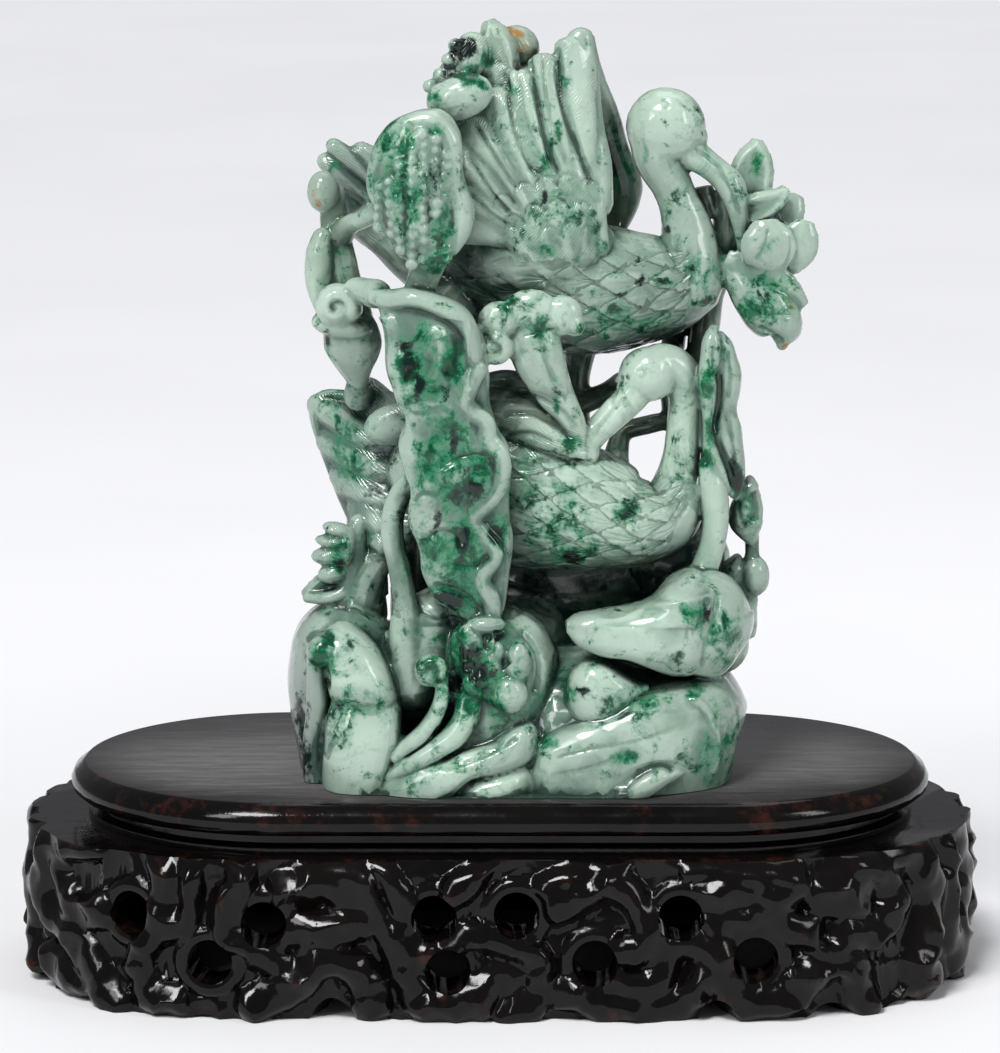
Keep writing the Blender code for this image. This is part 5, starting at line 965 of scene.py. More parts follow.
def noise(points, size, seed=0):
    """Smooth noise from -1 to 1, in lumps of about size."""
    cell = np.asarray(points) / size + 100
    low = np.floor(cell).astype(np.int64)
    share = cell - low
    share = share * share * (3 - 2 * share)
    total = np.zeros(len(cell))
    for corner in np.ndindex(2, 2, 2):
        spot = low + corner
        key = spot[:, 0] * 73856093 ^ spot[:, 1] * 19349663 ^ spot[:, 2] * 83492791 ^ (seed + 1) * 2654435
        key = ((key ^ (key >> 13)) * 1274126177) & 0x7FFFFFFF
        key = (key ^ (key >> 11)) & 0xFFFF
        total += np.prod(np.where(corner, share, 1 - share), axis=1) * (key / 0x7FFF - 1)
    return total


def soft_step(low, high, value):
    """From 0 at low to 1 at high, with soft ends."""
    share = np.clip((value - low) / (high - low), 0, 1)
    return share * share * (3 - 2 * share)


class Relief:
    """The fine carving: how far each point of the jade moves along its normal, and the lines cut into it."""

    def __init__(self, points, normals):
        self.points = points
        self.normals = normals
        self.rise = np.zeros(len(points))
        self.phase = np.zeros(len(points))
        self.lines = np.zeros(len(points))

    def scales(self, axis, across, up, right, top):
        """Overlapping scales round a body along an axis of x, y, z, radius, radius along y.

        They lie between two places across and two places up, and fade out at the right and at the top.
        """
        axis = np.array(sorted(axis))
        x, y, z = self.points.T
        middle = [np.interp(x, axis[:, 0], axis[:, k]) for k in range(1, 5)]
        side, rest = y - middle[0], z - middle[1]
        angle = np.arctan2(rest, -side)
        radius = np.hypot(side / middle[3], rest / middle[2])
        on = (x > across[0]) & (x < across[1]) & (z > up[0]) & (z < up[1]) & (np.abs(radius - 1) < 0.2)
        along = -x[on]
        around = angle[on] * (0.5 * (middle[2] + middle[3]))[on].mean()
        along = along + 0.9 * noise(self.points[on], 14, 3)
        around = around + 0.9 * noise(self.points[on], 14, 4)
        row = np.floor(along / SCALE_LENGTH)
        rise = np.zeros(on.sum())
        phase = np.zeros(on.sum())
        done = np.zeros(on.sum(), bool)
        for step in (-1, 0, 1, 2):
            i = row + step
            place = around / SCALE_WIDTH + 0.5 * (i % 2)
            centre = np.round(place)
            aside = 2 * (place - centre)
            edge = (i + 0.9 * (1 - np.abs(aside) ** 1.5)) * SCALE_LENGTH
            here = ~done & (along <= edge)
            depth = np.clip((edge - along) / (1.7 * SCALE_LENGTH), 0, 1)
            rise = np.where(here, 1 - depth, rise)
            base = np.clip(1.05 - depth, 0.15, 1)
            phase = np.where(here, aside / base * 1.6 + 17.3 * (i + 2.7 * centre), phase)
            done |= here
        weight = soft_step(0.2, 0.12, np.abs(radius[on] - 1))
        weight = weight * (soft_step(*top, z[on]) * soft_step(*right, x[on]))
        self.rise[on] = SCALE_RISE * (rise - 0.5) * weight
        self.phase[on] = phase
        self.lines[on] = 0.8 * weight

    def hatching(self, run, rise, area):
        """Fine scratched lines across an area, whose direction drifts a little."""
        x, y, z = self.points.T
        on = area(x, y, z)
        drift = 5 * noise(self.points[on], 15, 31) + 0.5 * noise(self.points[on], 3, 32)
        self.phase[on] = run * x[on] + rise * z[on] + drift
        self.lines[on] = 0.6 * soft_step(-0.35, 0.3, noise(self.points[on], 6, 33))

    def stroke(self, width, depth, level, line):
        """A line cut into the side towards the viewer, seen from the front at x and z, near y = level."""
        line = spline(line, STROKE_STEPS)
        x, y, z = self.points.T
        low, high = line.min(axis=0) - 3 * width, line.max(axis=0) + 3 * width
        near = (x > low[0]) & (x < high[0]) & (z > low[1]) & (z < high[1])
        near &= (np.abs(y - level) < STROKE_REACH) & (self.normals[:, 1] < 0.3)
        spot = np.flatnonzero(near)
        gap = np.hypot(x[spot][:, None] - line[:, 0], z[spot][:, None] - line[:, 1])
        place = gap.argmin(axis=1) / (len(line) - 1)
        taper = soft_step(0, 0.12, place) * soft_step(1, 0.88, place)
        self.rise[spot] -= depth * np.exp(-((gap.min(axis=1) / width) ** 2)) * taper

    def lump(self, size, height, seed, area=None):
        """Soft unevenness added to what is there."""
        x, y, z = self.points.T
        on = np.ones(len(x), bool) if area is None else area(x, y, z)
        self.rise[on] += height * noise(self.points[on], size, seed)


def carve(points, normals):
    """The relief over the whole carving."""
    relief = Relief(points, normals)
    relief.lump(9, 0.22, 11)
    relief.lump(4, 0.1, 12)
    relief.lump(13, 1.0, 13, lambda x, y, z: (z < 52) & (y < -4))
    relief.lump(11, 1.5, 14, lambda x, y, z: (z < 52) & (y >= -4))
    relief.lump(7, 1.0, 15, lambda x, y, z: (y < -38) & (z > 50) & (z < 146) & (x > -37) & (x < -9))
    relief.scales(UPPER_BODY, across=(-26, 66), up=(128, 172), right=(66, 60), top=(166, 158))
    relief.scales(LOWER_BODY, across=(-26, 62), up=(58, 108), right=(60, 52), top=(104, 98))
    relief.hatching(1.0, -0.75, lambda x, y, z: (y < -8) & (z > 160) & (x > -12) & (x < 30))
    relief.hatching(0.7, 0.9, lambda x, y, z: (x < -22) & (y > -9) & (z > 146))
    relief.hatching(0.8, 0.9, lambda x, y, z: (x < -27) & (z > 66) & (z < 121) & (y > -27))
    relief.hatching(0.5, 1.2, lambda x, y, z: (y < -18) & (x > -4) & (x < 27) & (z > 100) & (z < 123))
    for lines in STROKES.values():
        for width, depth, level, line in lines:
            relief.stroke(width, depth, level, line)
    return relief


def jade_mesh():
    """The fine jade: the forms fused, rounded, carved and cut flat where they rest."""
    obj = jade_clay().to_object("jade_stone", SEAT)
    modifier(obj, "REMESH", mode="VOXEL", voxel_size=FINE_VOXEL * MM)
    modifier(obj, "SMOOTH", factor=0.5, iterations=FINE_ROUNDING)
    drop_inner_skins(baked(obj))
    mesh = obj.data
    place, normal = points_of(mesh)
    points = place / MM - (0, 0, SEAT)
    relief = carve(points, normal)
    points = points + normal * relief.rise[:, None]
    mesh.vertices.foreach_set("co", ((points + (0, 0, SEAT)) * MM).ravel())
    attribute(mesh, "hatch", relief.phase)
    attribute(mesh, "hatched", relief.lines)
    thin_out(obj, FINE_TRIANGLES)
    cut_flat(obj, SEAT)
    paint(obj.data)
    return obj


def points_of(mesh):
    """The places of a mesh's points and their normals."""
    place = np.empty(3 * len(mesh.vertices))
    normal = np.empty(3 * len(mesh.vertices), np.float32)
    mesh.vertices.foreach_get("co", place)
    mesh.vertices.foreach_get("normal", normal)
    return place.reshape(-1, 3), normal.reshape(-1, 3)


def attribute(mesh, name, values):
    """Stores one number for each point of a mesh, for its material to read."""
    made = mesh.attributes.get(name) or mesh.attributes.new(name, "FLOAT", "POINT")
    made.data.foreach_set("value", np.asarray(values, np.float32))


def cut_flat(obj, height):
    """Cuts off what lies below height and closes the cut."""
    shape = bmesh.new()
    shape.from_mesh(obj.data)
    geometry = shape.verts[:] + shape.edges[:] + shape.faces[:]
    cut = bmesh.ops.bisect_plane(
        shape, geom=geometry, plane_co=(0, 0, height * MM), plane_no=(0, 0, -1), clear_outer=True
    )
    rim = [item for item in cut["geom_cut"] if isinstance(item, bmesh.types.BMEdge)]
    bmesh.ops.triangle_fill(shape, edges=rim, use_beauty=True, use_dissolve=False)
    bmesh.ops.recalc_face_normals(shape, faces=shape.faces)
    bmesh.ops.triangulate(shape, faces=shape.faces)
    shape.to_mesh(obj.data)
    shape.free()


def paint(mesh):
    """Stores how much of each colour's patches a point has, how hollow it is, and how much of its sky nearby
    stone shuts off, which the jade's colour uses as painted shade.
    """
    points = points_of(mesh)[0] / MM - (0, 0, SEAT)
    drift = [noise(points, 6, seed) + 0.5 * noise(points, 3, seed + 3) for seed in (21, 22, 23)]
    moved = points + PATCH_DRIFT * np.stack(drift, axis=1)
    for name, patches in PATCHES.items():
        value = np.zeros(len(points))
        for *middle, wide, deep, tall, strength in patches:
            reach = (((moved - middle) / (wide, deep, tall)) ** 2).sum(axis=1)
            value = np.maximum(value, strength * soft_step(1.7, 0.35, np.sqrt(reach)))
        attribute(mesh, name, value)
    attribute(mesh, "hollow", hollow_of(mesh))
    attribute(mesh, "enclosed_shade", enclosure_shade(mesh))


def enclosure_shade(mesh):
    """The share of the sky over each point that nearby stone shuts off, used as painted shade."""
    place, normal = points_of(mesh)
    corners = np.empty(3 * len(mesh.polygons), np.int32)
    mesh.polygons.foreach_get("vertices", corners)
    tree = BVHTree.FromPolygons(place.tolist(), corners.reshape(-1, 3).tolist())
    normal = normal.astype(float)
    starts = (place + RAY_START * MM * normal).tolist()
    shut = np.zeros(len(place))
    for turn in range(ENCLOSURE_RAYS):
        level = 1 - 2 * (turn + 0.5) / ENCLOSURE_RAYS
        angle = RAY_TURN * turn
        wide = math.sqrt(1 - level * level)
        lean = RAY_LEAN * np.array([wide * math.cos(angle), wide * math.sin(angle), level])
        aims = unit(normal + lean).tolist()
        reach = ENCLOSURE_REACH * MM
        shut += [tree.ray_cast(start, way, reach)[0] is not None for start, way in zip(starts, aims)]
    return shut / ENCLOSURE_RAYS


def hollow_of(mesh):
    """How far each point lies below its smoothed surroundings, in millimetres."""
    copy = bpy.data.objects.new("smoothed", mesh.copy())
    bpy.context.scene.collection.objects.link(copy)
    modifier(copy, "SMOOTH", factor=1.0, iterations=HOLLOW_PASSES)
    baked(copy)
    smooth = points_of(copy.data)[0]
    place, normal = points_of(mesh)
    depth = ((smooth - place) * normal).sum(axis=1) / MM
    bpy.data.objects.remove(copy, do_unlink=True)
    return depth


def modifier(obj, kind, **settings):
    """Adds one modifier with the settings given."""
    made = obj.modifiers.new(kind.title(), kind)
    for name, value in settings.items():
        setattr(made, name, value)


def baked(obj):
    """Replaces the object's mesh by what its modifiers make of it."""
    graph = bpy.context.evaluated_depsgraph_get()
    mesh = bpy.data.meshes.new_from_object(obj.evaluated_get(graph))
    obj.modifiers.clear()
    obj.data = mesh
    return obj


def drop_inner_skins(obj):
    """Keeps the largest connected skin, so that no pocket stays sealed inside."""
    shape = bmesh.new()
    shape.from_mesh(obj.data)
    left = set(shape.verts)
    skins = []
    while left:
        seed = left.pop()
        skin = {seed}
        edge = [seed]
        while edge:
            for link in edge.pop().link_edges:
                for other in link.verts:
                    if other in left:
                        left.discard(other)
                        skin.add(other)
                        edge.append(other)
        skins.append(skin)
    skins.sort(key=len)
    for skin in skins[:-1]:
        bmesh.ops.delete(shape, geom=list(skin), context="VERTS")
    shape.to_mesh(obj.data)
    shape.free()


def triangle_count(obj):
    """How many triangles the object's mesh holds."""
    obj.data.calc_loop_triangles()
    return len(obj.data.loop_triangles)


def thin_out(obj, triangles):
    """Fewer triangles where the surface is plain."""
    modifier(obj, "DECIMATE", ratio=min(1, triangles / triangle_count(obj)))
    return baked(obj)


def block(name, low, high):
    """A plain box in millimetres, used as a cutter."""
    bpy.ops.mesh.primitive_cube_add(size=1)
    obj = bpy.context.object
    obj.name = name
    low, high = np.array(low, float), np.array(high, float)
    for corner in obj.data.vertices:
        share = np.array(corner.co) + 0.5
        corner.co = (low + share * (high - low)) * MM
    as_cutter(obj)
    return obj


def as_cutter(obj):
    """Keeps a helper shape out of the render."""
    obj.hide_render = True
    obj.display_type = "WIRE"


def cut(obj, cutter):
    """Takes the cutter's shape away from the object."""
    modifier(obj, "BOOLEAN", operation="DIFFERENCE", solver="EXACT", object=cutter)


# The skirt's carving, as half width, height, and places along the front from its middle and above the ground.
STRANDS = [
    (5.5, 5.5, [(-129, 52), (-143, 50), (-154, 44), (-156, 33), (-147, 24), (-134, 18), (-119, 3)]),
    (4.5, 4.5, [(-127, 50), (-141, 48), (-145, 38), (-136, 29), (-124, 30)]),
    (4.5, 4.5, [(-104, 50), (-102, 38), (-105, 26), (-110, 17), (-107, 8), (-98, 4)]),
    (4.0, 4.0, [(-95, 50), (-93, 38), (-97, 30), (-107, 22)]),
    (4.0, 4.0, [(-79, 50), (-79, 42), (-84, 34), (-83, 26), (-74, 20), (-64, 14)]),
    (4.5, 4.0, [(-56, 49), (-51, 42), (-45, 37)]), (4.5, 4.0, [(-61, 28), (-53, 28), (-44, 30)]),
    (5.0, 5.0, [(-74, 3), (-64, 10), (-58, 17), (-49, 18), (-41, 12), (-38, 3)]),
    (4.0, 4.0, [(-48, 49), (-42, 42), (-38, 31), (-33, 24), (-30, 16), (-24, 6)]),
    (4.0, 4.0, [(-36, 49), (-31, 40), (-29, 31)]), (4.5, 5.0, [(-4, 50), (-9, 44), (-14, 40)]),
    (4.5, 5.0, [(-31, 27), (-26, 22), (-19, 21), (-11, 26), (-3, 25), (7, 22), (13, 16), (12, 8), (4, 3)]),
    (6.0, 5.5, [(-6, 7), (-12, 6), (-20, 5)]),
    (5.0, 5.5, [(17, 35), (25, 39), (33, 41), (41, 37), (45, 29), (42, 22), (38, 21)]),
    (4.0, 4.0, [(13, 40), (22, 46), (34, 47)]), (4.5, 4.5, [(50, 23), (49, 14), (42, 10), (33, 11)]),
    (5.0, 5.0, [(22, 8), (31, 4), (44, 3), (55, 5), (62, 13), (63, 21), (57, 24)]),
    (4.0, 4.0, [(59, 48), (68, 49), (78, 45), (80, 36), (74, 30), (64, 30)]),
    (5.0, 5.0, [(66, 25), (69, 15), (75, 7), (85, 6), (92, 12), (101, 18), (108, 14), (113, 4)]),
    (5.0, 5.0, [(84, 49), (88, 43), (83, 35), (86, 29), (94, 26)]),
    (4.5, 4.5, [(103, 50), (117, 45), (124, 34), (118, 26), (105, 25)]),
    (5.5, 5.5, [(122, 52), (133, 46), (139, 35), (137, 24), (133, 14), (136, 5)]),
    (4.5, 4.5, [(146, 50), (150, 40), (147, 29), (150, 18), (156, 8)]),
    (5.0, 4.5, [(158, 51), (166, 42), (168, 31), (160, 22), (161, 10)]),
    (5.0, 5.0, [(176, 50), (181, 38), (176, 26), (183, 14), (194, 6)]),
    (4.5, 4.5, [(-167, 50), (-170, 38), (-163, 28), (-168, 16), (-160, 6)]),
    (4.5, 4.0, [(-150, 10), (-141, 7), (-132, 5)]),
]

# Oval bosses between the strands: middle along and up, half width, half height, rise.
BOSSES = [(-61, 41, 8.5, 6, 4.5), (68, 40, 8.5, 6.5, 4.5), (105, 38, 11, 8, 5), (-3, 12, 13, 7, 3)]

# Middles of the round holes, along the front and above the ground.
HOLES = [(-113, 31), (-88, 18), (-72, 30), (-20, 32), (-16, 16), (5, 33), (29, 18), (55, 32), (78, 19)]

# Low arches in the skirt's bottom edge: middle, half width, rise.
ARCHES = [
    (-176, 8, 4), (-155, 9, 4), (-128, 8, 3), (-90, 9, 2), (-51, 8, 8), (-5, 14, 1.5), (40, 9, 2), (67, 7, 8),
    (101, 9, 5), (126, 8, 3), (150, 8, 4), (170, 9, 4),
]

# The board's edge from its underside to its top, as shares of its thickness, with how far it stands out.
EDGE_PROFILE = [
    (-0.1, -1.0), (0.04, -0.6), (0.12, -0.8), (0.18, -4.0), (0.32, -4.2), (0.40, 2.0), (0.52, 4.3),
    (0.68, 4.6), (0.84, 3.4), (0.93, 1.2), (1.0, 0.0),
]


def oval(length, depth, end, count):
    """Stations round an oval with half-ellipse ends, from the middle of its front towards +X.

    Returns each station's place, its outward direction and its distance from the start, and the whole girth.
    """
    turn = np.linspace(-math.pi / 2, math.pi / 2, OVAL_STEPS)
    right = np.column_stack([length / 2 - end + end * np.cos(turn), depth / 2 * np.sin(turn)])
    ring = np.vstack([right, -right, right[:1]])
    run = np.concatenate([[0], np.cumsum(np.linalg.norm(np.diff(ring, axis=0), axis=1))])
    girth = run[-1]
    where = np.linspace(0, girth, count, endpoint=False)

    def at(distance):
        shifted = distance - (length / 2 - end)
        return np.stack([np.interp(shifted, run, ring[:, k], period=girth) for k in (0, 1)], axis=1)

    ahead = unit(at(where + 0.5) - at(where - 0.5))
    return at(where), np.column_stack([ahead[:, 1], -ahead[:, 0]]), where, girth


def on_front(where, girth):
    """Distances on the drawn front half, because the back repeats the front turned half round."""
    half = girth / 2
    return ((where + half / 2) % half - half / 2) * DRAWN_GIRTH / girth


def carved_rise(along, up, points):
    """How far the skirt's carving stands out at places along it and up it, over lumpy ground."""
    run = along + 2.0 * noise(points, 13, 41) + 0.6 * noise(points, 5, 42)
    high = up + 1.8 * noise(points, 12, 43) + 0.6 * noise(points, 5, 44)
    spots = np.stack([run, high], axis=-1)
    rise = np.zeros(along.shape)
    for half_width, height, rows in STRANDS:
        line = spline(rows, 5)
        reach = np.full(along.shape, 1e9)
        for a, b in zip(line, line[1:]):
            step = b - a
            share = np.clip(((spots - a) @ step) / (step @ step), 0, 1)
            reach = np.minimum(reach, np.linalg.norm(spots - a - share[..., None] * step, axis=-1))
        swell = height * np.clip(1 - (reach / half_width / STRAND_FOOT) ** 2, 0, 1) ** 0.75
        rise = (rise**3 + swell**3) ** (1 / 3)
    for middle, level, wide, tall, height in BOSSES:
        reach = ((run - middle) / wide) ** 2 + ((high - level) / tall) ** 2
        swell = height * np.clip(1 - reach / STRAND_FOOT**2, 0, 1) ** 0.75
        rise = (rise**3 + swell**3) ** (1 / 3)
    ridge = 1 - 2.4 * np.abs(noise(points, 9, 46))
    rise = rise + 1.3 * noise(points, 10, 45) + 1.3 * ridge + 0.3 * noise(points, 3, 47)
    for middle, level in HOLES:
        reach = np.hypot(along - middle, up - level) - HOLE_RADIUS
        rim = RIM_RISE * np.sqrt(np.clip(1 - (reach / RIM_WIDTH - 0.5) ** 2, 0, 1))
        rise = np.maximum(rise, rim)
    return rise


def foot_line(along):
    """Height of the skirt's bottom edge, which is level except at its arches."""
    rise = np.zeros(along.shape)
    for middle, half_width, height in ARCHES:
        rise = np.maximum(rise, height * np.clip(1 - ((along - middle) / half_width) ** 2, 0, 1))
    return rise


def skirt():
    """The stand's skirt, carved outside, plain and hollow inside, with a closed top."""
    place, outward, where, girth = oval(SKIRT_LENGTH, SKIRT_DEPTH, SKIRT_END, SKIRT_STATIONS)
    along = on_front(where, girth)
    bottom = foot_line(along) - FOOT_CUT
    rings = []
    for share in np.linspace(0, 1, SKIRT_ROWS):
        up = SKIRT_HEIGHT + (bottom - SKIRT_HEIGHT) * share
        edge = math.sin(math.pi * min(1, share * 8) / 2)
        edge = edge + (1 - edge) * LUMPY_ENDS * soft_step(85, 135, np.abs(place[:, 0]))
        points = np.column_stack([place, up])
        out = carved_rise(along, up * DRAWN_SKIRT_HEIGHT / SKIRT_HEIGHT, points) * edge + SKIRT_FLARE * share
        rings.append(np.column_stack([place + out[:, None] * outward, up]))
    inner, inward, _, _ = oval(
        SKIRT_LENGTH - 2 * SKIRT_WALL, SKIRT_DEPTH - 2 * SKIRT_WALL,
        SKIRT_END - SKIRT_WALL, SKIRT_STATIONS,
    )
    rings.append(np.column_stack([inner, bottom]))
    rings.append(np.column_stack([inner, np.full(len(inner), SKIRT_HEIGHT - TOP_PLATE)]))
    clay = Clay()
    clay.loft(rings)
    return thin_out(clay.to_object("stand_wood"), WOOD_TRIANGLES)


def board():
    """The oval board with its moulded edge."""
    turn = np.linspace(-math.pi / 2, math.pi / 2, BOARD_END_STEPS)
    middle = BOARD_LENGTH / 2 - BOARD_END
    arc = np.column_stack([np.cos(turn), np.sin(turn)])
    rings = []
    for share, out in EDGE_PROFILE:
        right = arc * (BOARD_END + out, BOARD_DEPTH / 2 + out) + (middle, 0)
        outline = np.vstack([right, -right])
        height = SKIRT_HEIGHT + share * (STAND_TOP - SKIRT_HEIGHT)
        rings.append(np.column_stack([outline, np.full(len(outline), height)]))
    clay = Clay()
    clay.loft(rings)
    return clay.to_object("board_form")


def hole_cutters():
    """One mesh of round pins, one across the skirt's wall at each hole, front and back."""
    place, outward, where, _ = oval(SKIRT_LENGTH, SKIRT_DEPTH, SKIRT_END, 3 * SKIRT_STATIONS)
    clay = Clay()
    for middle, high in HOLES:
        for half_turn in (0, 0.5):
            i = round((middle / DRAWN_GIRTH + half_turn) * len(where)) % len(where)
            out = np.array([*outward[i], 0])
            start = np.array([*place[i], high * SKIRT_HEIGHT / DRAWN_SKIRT_HEIGHT])
            ends = [start - (SKIRT_WALL + PIN_REACH) * out, start + PIN_REACH * out]
            across = np.cross(out, UP)
            angle = np.linspace(0, 2 * math.pi, HOLE_SIDES, endpoint=False)[:, None]
            clay.loft([end + HOLE_RADIUS * (np.cos(angle) * across + np.sin(angle) * UP) for end in ends])
    cutter = clay.to_object("hole_pins")
    as_cutter(cutter)
    return cutter


def make_stand():
    """The wooden stand as one solid: skirt and board joined, holes drilled, feet cut level."""
    obj = skirt()
    top = board()
    as_cutter(top)
    modifier(obj, "BOOLEAN", operation="UNION", solver="EXACT", object=top)
    pins = hole_cutters()
    cut(obj, pins)
    reach = SKIRT_LENGTH
    floor = block("floor_cutter", (-reach, -reach, -CUTTER_REACH), (reach, reach, 0))
    cut(obj, floor)
    baked(obj)
    for helper in (top, pins, floor):
        bpy.data.objects.remove(helper, do_unlink=True)
    attribute(obj.data, "hollow", hollow_of(obj.data))
    return obj


class Nodes:
    """A short way to write a material's node tree."""

    def __init__(self, name):
        self.material = bpy.data.materials.new(name)
        self.material.use_nodes = True
        self.tree = self.material.node_tree
        self.shader = self.tree.nodes["Principled BSDF"]

    def add(self, kind, inputs=None, **settings):
        node = self.tree.nodes.new(kind)
        for name, value in settings.items():
            setattr(node, name, value)
        for name, value in (inputs or {}).items():
            self.feed(value, node.inputs[name])
        return node

    def feed(self, value, socket):
        """Links a socket to another, or gives it its value."""
        if isinstance(value, bpy.types.NodeSocket):
            self.tree.links.new(value, socket)
        else:
            socket.default_value = value

    def place(self):
        return self.add("ShaderNodeTexCoord").outputs["Object"]

    def moved(self, by):
        """The object's own coordinates, moved along."""
        return self.add("ShaderNodeMapping", {"Vector": self.place(), "Location": by}).outputs["Vector"]

    def noise(self, scale, detail=4.0, roughness=0.55, distortion=0.0, where=None):
        inputs = {"Scale": scale, "Detail": detail, "Roughness": roughness, "Distortion": distortion}
        inputs["Vector"] = where or self.place()
        return self.add("ShaderNodeTexNoise", inputs).outputs["Fac"]

    def stored(self, name):
        return self.add("ShaderNodeAttribute", attribute_name=name).outputs["Fac"]

    def math(self, operation, *values):
        node = self.add("ShaderNodeMath", operation=operation)
        for socket, value in zip(node.inputs, values):
            self.feed(value, socket)
        return node.outputs[0]

    def times(self, a, b):
        return self.math("MULTIPLY", a, b)

    def span(self, value, low, high, to_low=0.0, to_high=1.0):
        """The value moved from low..high to another span, held inside it and soft at both ends."""
        inputs = {"Value": value, "From Min": low, "From Max": high, "To Min": to_low, "To Max": to_high}
        return self.add("ShaderNodeMapRange", inputs, interpolation_type="SMOOTHSTEP").outputs["Result"]

    def mix(self, share, first, second):
        node = self.add("ShaderNodeMix", data_type="RGBA")
        self.feed(share, node.inputs[0])
        self.feed(first, node.inputs[6])
        self.feed(second, node.inputs[7])
        return node.outputs[2]

    def bump(self, height, distance, strength=1.0, normal=None):
        inputs = {"Height": height, "Distance": distance, "Strength": strength}
        if normal is not None:
            inputs["Normal"] = normal
        return self.add("ShaderNodeBump", inputs).outputs["Normal"]

    def finished(self, inputs):
        """The material, its shader's sockets linked or set to plain values."""
        for name, value in inputs.items():
            self.feed(value, self.shader.inputs[name])
        return self.material


def colour(red, green, blue):
    return (red, green, blue, 1.0)


def jade_material():
    """Polished jade: cloudy grey green, with pale, dark grey and dark olive parts, emerald and near-black
    patches, painted shade in its hollows and shut-in places, and painted light on its ridges.
    """
    n = Nodes("polished_jade")
    cloud = n.noise(20, 5, 0.6, 0.6)
    vein = n.noise(48, 7, 0.66, 1.3)
    mottle = n.noise(110, 7, 0.7, 0.8)
    speck = n.noise(330, 5, 0.7, 0.3)
    wander = n.noise(34, 6, 0.68, 1.6, n.moved((3, 5, 2)))
    stone = n.mix(n.span(cloud, 0.36, 0.66), colour(0.085, 0.155, 0.118), colour(0.285, 0.41, 0.322))
    stone = n.mix(n.times(n.stored("pale"), 0.85), stone, colour(0.42, 0.56, 0.45))
    # The dark grey, dark olive and near-black patches are mostly the stone's own colour, and some of them
    # stand in for shade.
    stone = n.mix(n.times(n.stored("slate_and_shade"), 0.85), stone, colour(0.062, 0.10, 0.094))
    stone = n.mix(n.times(n.stored("olive_and_shade"), 0.8), stone, colour(0.105, 0.118, 0.068))
    stone = n.mix(n.span(vein, 0.50, 0.70, 0, 0.7), stone, colour(0.055, 0.135, 0.10))
    stone = n.mix(n.span(mottle, 0.52, 0.76, 0, 0.5), stone, colour(0.60, 0.72, 0.62))
    stone = n.mix(n.span(mottle, 0.47, 0.30, 0, 0.5), stone, colour(0.06, 0.125, 0.095))
    hollow = n.stored("hollow")
    # Painted light: points that stand out from their smoothed surroundings turn paler, for light glowing
    # through thin edges.
    stone = n.mix(n.span(hollow, -0.12, -0.7, 0, 0.35), stone, colour(0.66, 0.78, 0.68))

    def broken(name, low, high, amount):
        """A patch whose edge is frayed by the finer noises."""
        value = n.stored(name)
        for grain, share in ((vein, 0.7), (mottle, 1.0), (speck, 0.6)):
            value = n.math("ADD", value, n.times(n.math("SUBTRACT", grain, 0.5), share * amount))
        return n.span(value, low, high)

    drift = n.span(wander, 0.60, 0.74, 0, 0.75)
    stone = n.mix(drift, stone, colour(0.045, 0.235, 0.125))
    stone = n.mix(broken("emerald", 0.05, 0.75, 2.3), stone, colour(0.022, 0.215, 0.098))
    stone = n.mix(broken("emerald", 0.4, 1.0, 3.0), stone, colour(0.004, 0.075, 0.033))
    core = n.times(drift, n.span(wander, 0.70, 0.78, 0, 0.9))
    stone = n.mix(core, stone, colour(0.004, 0.035, 0.02))
    stone = n.mix(broken("ink_and_shade", 0.25, 0.85, 2.6), stone, colour(0.0035, 0.013, 0.010))
    stone = n.mix(broken("brown", 0.3, 0.9, 1.4), stone, colour(0.33, 0.185, 0.06))
    # Painted shade, partly dark residue in the grooves: the deeper a point lies in a hollow, the nearer black
    # it goes.
    stone = n.mix(n.span(hollow, 0.08, 0.8, 0, 0.88), stone, colour(0.014, 0.036, 0.027))
    # Painted shade: the colour goes near black where nearby stone shuts off much of the sky.
    stone = n.mix(n.span(n.stored("enclosed_shade"), 0.28, 0.85, 0, 0.9), stone, colour(0.010, 0.030, 0.022))
    line = n.times(n.math("SINE", n.times(n.stored("hatch"), 6.5)), n.stored("hatched"))
    return n.finished({
        "Base Color": stone,
        "Subsurface Weight": 0.3,
        "Subsurface Radius": (0.7, 1.2, 0.9),
        "Subsurface Scale": 0.0015,
        "IOR": 1.66,
        "Specular IOR Level": 0.3,
        "Roughness": n.span(n.noise(70, 5, 0.6), 0.3, 0.7, 0.08, 0.2),
        "Normal": n.bump(n.noise(190, 4, 0.6), 0.00012, 0.45, n.bump(line, 0.0001, 0.9)),
    })


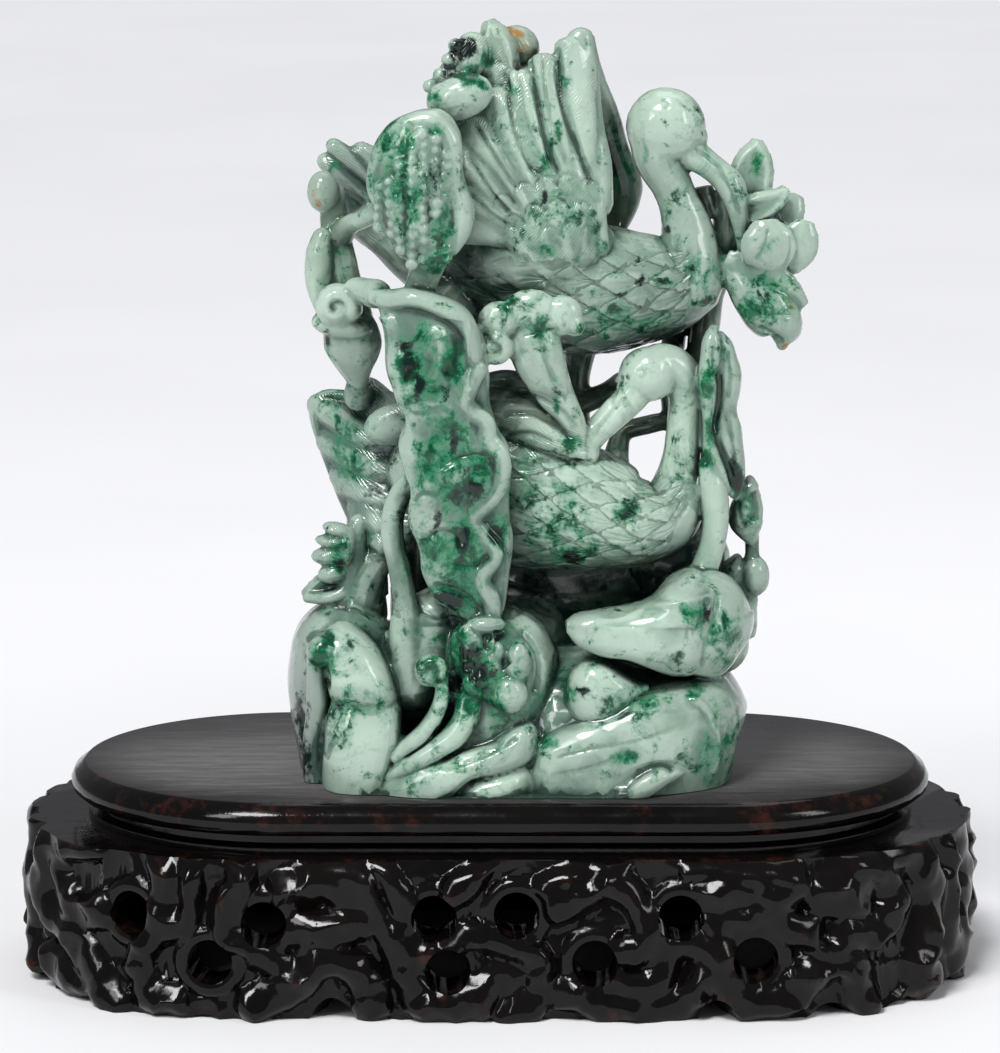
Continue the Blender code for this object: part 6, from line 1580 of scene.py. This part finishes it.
def lacquer_material():
    """Black lacquer, brown where its edges are worn, satin and faintly grained on the flat top, which is
    painted a light grey for the sheen it shows at a low angle.
    """
    n = Nodes("worn_black_lacquer")
    where = n.place()
    stretched = n.add("ShaderNodeMapping", {"Vector": where, "Scale": (0.12, 1.0, 0.6)}).outputs["Vector"]
    grain = n.noise(420, 6, 0.7, 0.4, stretched)
    blotch = n.noise(24, 4, 0.6)
    normal = n.add("ShaderNodeNewGeometry").outputs["Normal"]
    up = n.add("ShaderNodeSeparateXYZ", {"Vector": normal}).outputs["Z"]
    height = n.add("ShaderNodeSeparateXYZ", {"Vector": where}).outputs["Z"]
    level = n.span(height, (STAND_TOP - 3) * MM, (STAND_TOP - 1) * MM)
    top = n.times(n.span(up, 0.9, 0.99), level)
    wood = n.mix(n.span(blotch, 0.35, 0.7), colour(0.0018, 0.0015, 0.0015), colour(0.004, 0.0028, 0.0025))
    worn = n.times(n.span(n.stored("hollow"), -0.35, -1.6), n.span(n.noise(90, 5, 0.7), 0.52, 0.72))
    wood = n.mix(n.times(worn, 0.6), wood, colour(0.05, 0.014, 0.008))
    # Painted sheen: the flat top's grey is far lighter than the lacquer, for the sky's sheen at a low angle,
    # over its faint grain.
    flat = n.mix(n.span(grain, 0.35, 0.7), colour(0.10, 0.098, 0.099), colour(0.17, 0.165, 0.166))
    gloss = n.span(n.noise(60, 5, 0.65), 0.3, 0.75, 0.06, 0.2)
    satin = n.span(grain, 0.3, 0.75, 0.34, 0.5)
    return n.finished({
        "Base Color": n.mix(top, wood, flat),
        "Roughness": n.math("ADD", n.times(gloss, n.math("SUBTRACT", 1.0, top)), n.times(satin, top)),
        "Specular IOR Level": 0.25,
        "Normal": n.bump(grain, 0.00015, 0.25, n.bump(n.noise(80, 4, 0.6), 0.0006, 0.3)),
    })


def floor_material():
    """Plain near-white paper, with a faint painted glow that grows away from the stand."""
    n = Nodes("pale_paper")
    shade = n.mix(n.span(n.noise(3, 3), 0.3, 0.7), colour(0.84, 0.84, 0.86), colour(0.87, 0.87, 0.885))
    far = n.add("ShaderNodeVectorMath", {0: n.place()}, operation="LENGTH").outputs["Value"]
    return n.finished({
        "Base Color": shade,
        "Roughness": 0.6,
        # Painted light: the floor glows faintly, more the farther it lies from the stand.
        "Emission Color": colour(0.95, 0.95, 1.0),
        "Emission Strength": n.span(far, 0.2, 0.6, 0, 0.12),
    })


def make_floor():
    """The plain floor, which isn't part of the object."""
    bpy.ops.mesh.primitive_plane_add(size=FLOOR_SIZE * MM, location=(0, 0, 0))
    floor = bpy.context.object
    floor.name = "studio_floor"
    floor.data.materials.append(floor_material())


def make_light(name, place, target, size, power):
    """A rectangular soft light, its place and size in millimetres, aimed at target."""
    lamp = bpy.data.lights.new(name, "AREA")
    lamp.shape = "RECTANGLE"
    lamp.size, lamp.size_y = size[0] * MM, size[1] * MM
    lamp.energy = power
    obj = bpy.data.objects.new(name, lamp)
    bpy.context.scene.collection.objects.link(obj)
    aim(obj, place, target)


def aim(obj, place, target):
    """Puts an object at place, in millimetres, looking at target."""
    start = Vector(place) * MM
    obj.location = start
    obj.rotation_euler = (Vector(target) * MM - start).to_track_quat("-Z", "Y").to_euler()


def make_studio():
    """Soft lights from both sides and above, and a pale sky."""
    middle = (0, 0, 150)
    make_light("key_softbox", (-800, -1000, 950), middle, (260, 620), 5.2)
    make_light("side_softbox", (1050, -700, 800), middle, (240, 620), 4.0)
    make_light("top_softbox", (150, 350, 1300), middle, (700, 500), 2)
    sun = bpy.data.lights.new("high_sun", "SUN")
    sun.energy = SUN_STRENGTH
    sun.angle = math.radians(18)
    lamp = bpy.data.objects.new("high_sun", sun)
    bpy.context.scene.collection.objects.link(lamp)
    aim(lamp, (-350, -650, 1300), middle)
    bpy.context.scene.view_settings.view_transform = "Standard"
    world = bpy.data.worlds.new("pale_sky")
    bpy.context.scene.world = world
    world.use_nodes = True
    sky = world.node_tree.nodes["Background"]
    sky.inputs["Color"].default_value = (0.93, 0.95, 1.0, 1)
    sky.inputs["Strength"].default_value = SKY_STRENGTH


def make_camera():
    """A camera at the photograph's angle and distance, framing what the photograph frames."""
    pitch = math.radians(CAMERA_PITCH)
    aim_at = np.array([0.0, 0.0, CAMERA_AIM_HEIGHT])
    place = aim_at + CAMERA_DISTANCE * np.array([0, -math.cos(pitch), math.sin(pitch)])
    lens = bpy.data.cameras.new("camera")
    lens.sensor_fit = "VERTICAL"
    lens.sensor_height = SENSOR
    lens.lens = CAMERA_ZOOM * SENSOR
    camera = bpy.data.objects.new("camera", lens)
    bpy.context.scene.collection.objects.link(camera)
    aim(camera, place, aim_at)
    bpy.context.scene.camera = camera


def dress(obj, node, material, sharp):
    """Gives a piece its material and smooth shading, hides the solid that it stands for, and sets it on the
    root body.
    """
    obj.data.materials.clear()
    obj.data.materials.append(material)
    obj.data.shade_smooth()
    obj.data.set_sharp_from_angle(angle=math.radians(sharp))
    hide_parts(node)
    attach(obj, "root")


make_camera()
make_studio()
make_floor()
stand = make_stand()
dress(stand, "stand", lacquer_material(), 50)
jade = jade_mesh()
dress(jade, "jade_carving", jade_material(), 70)
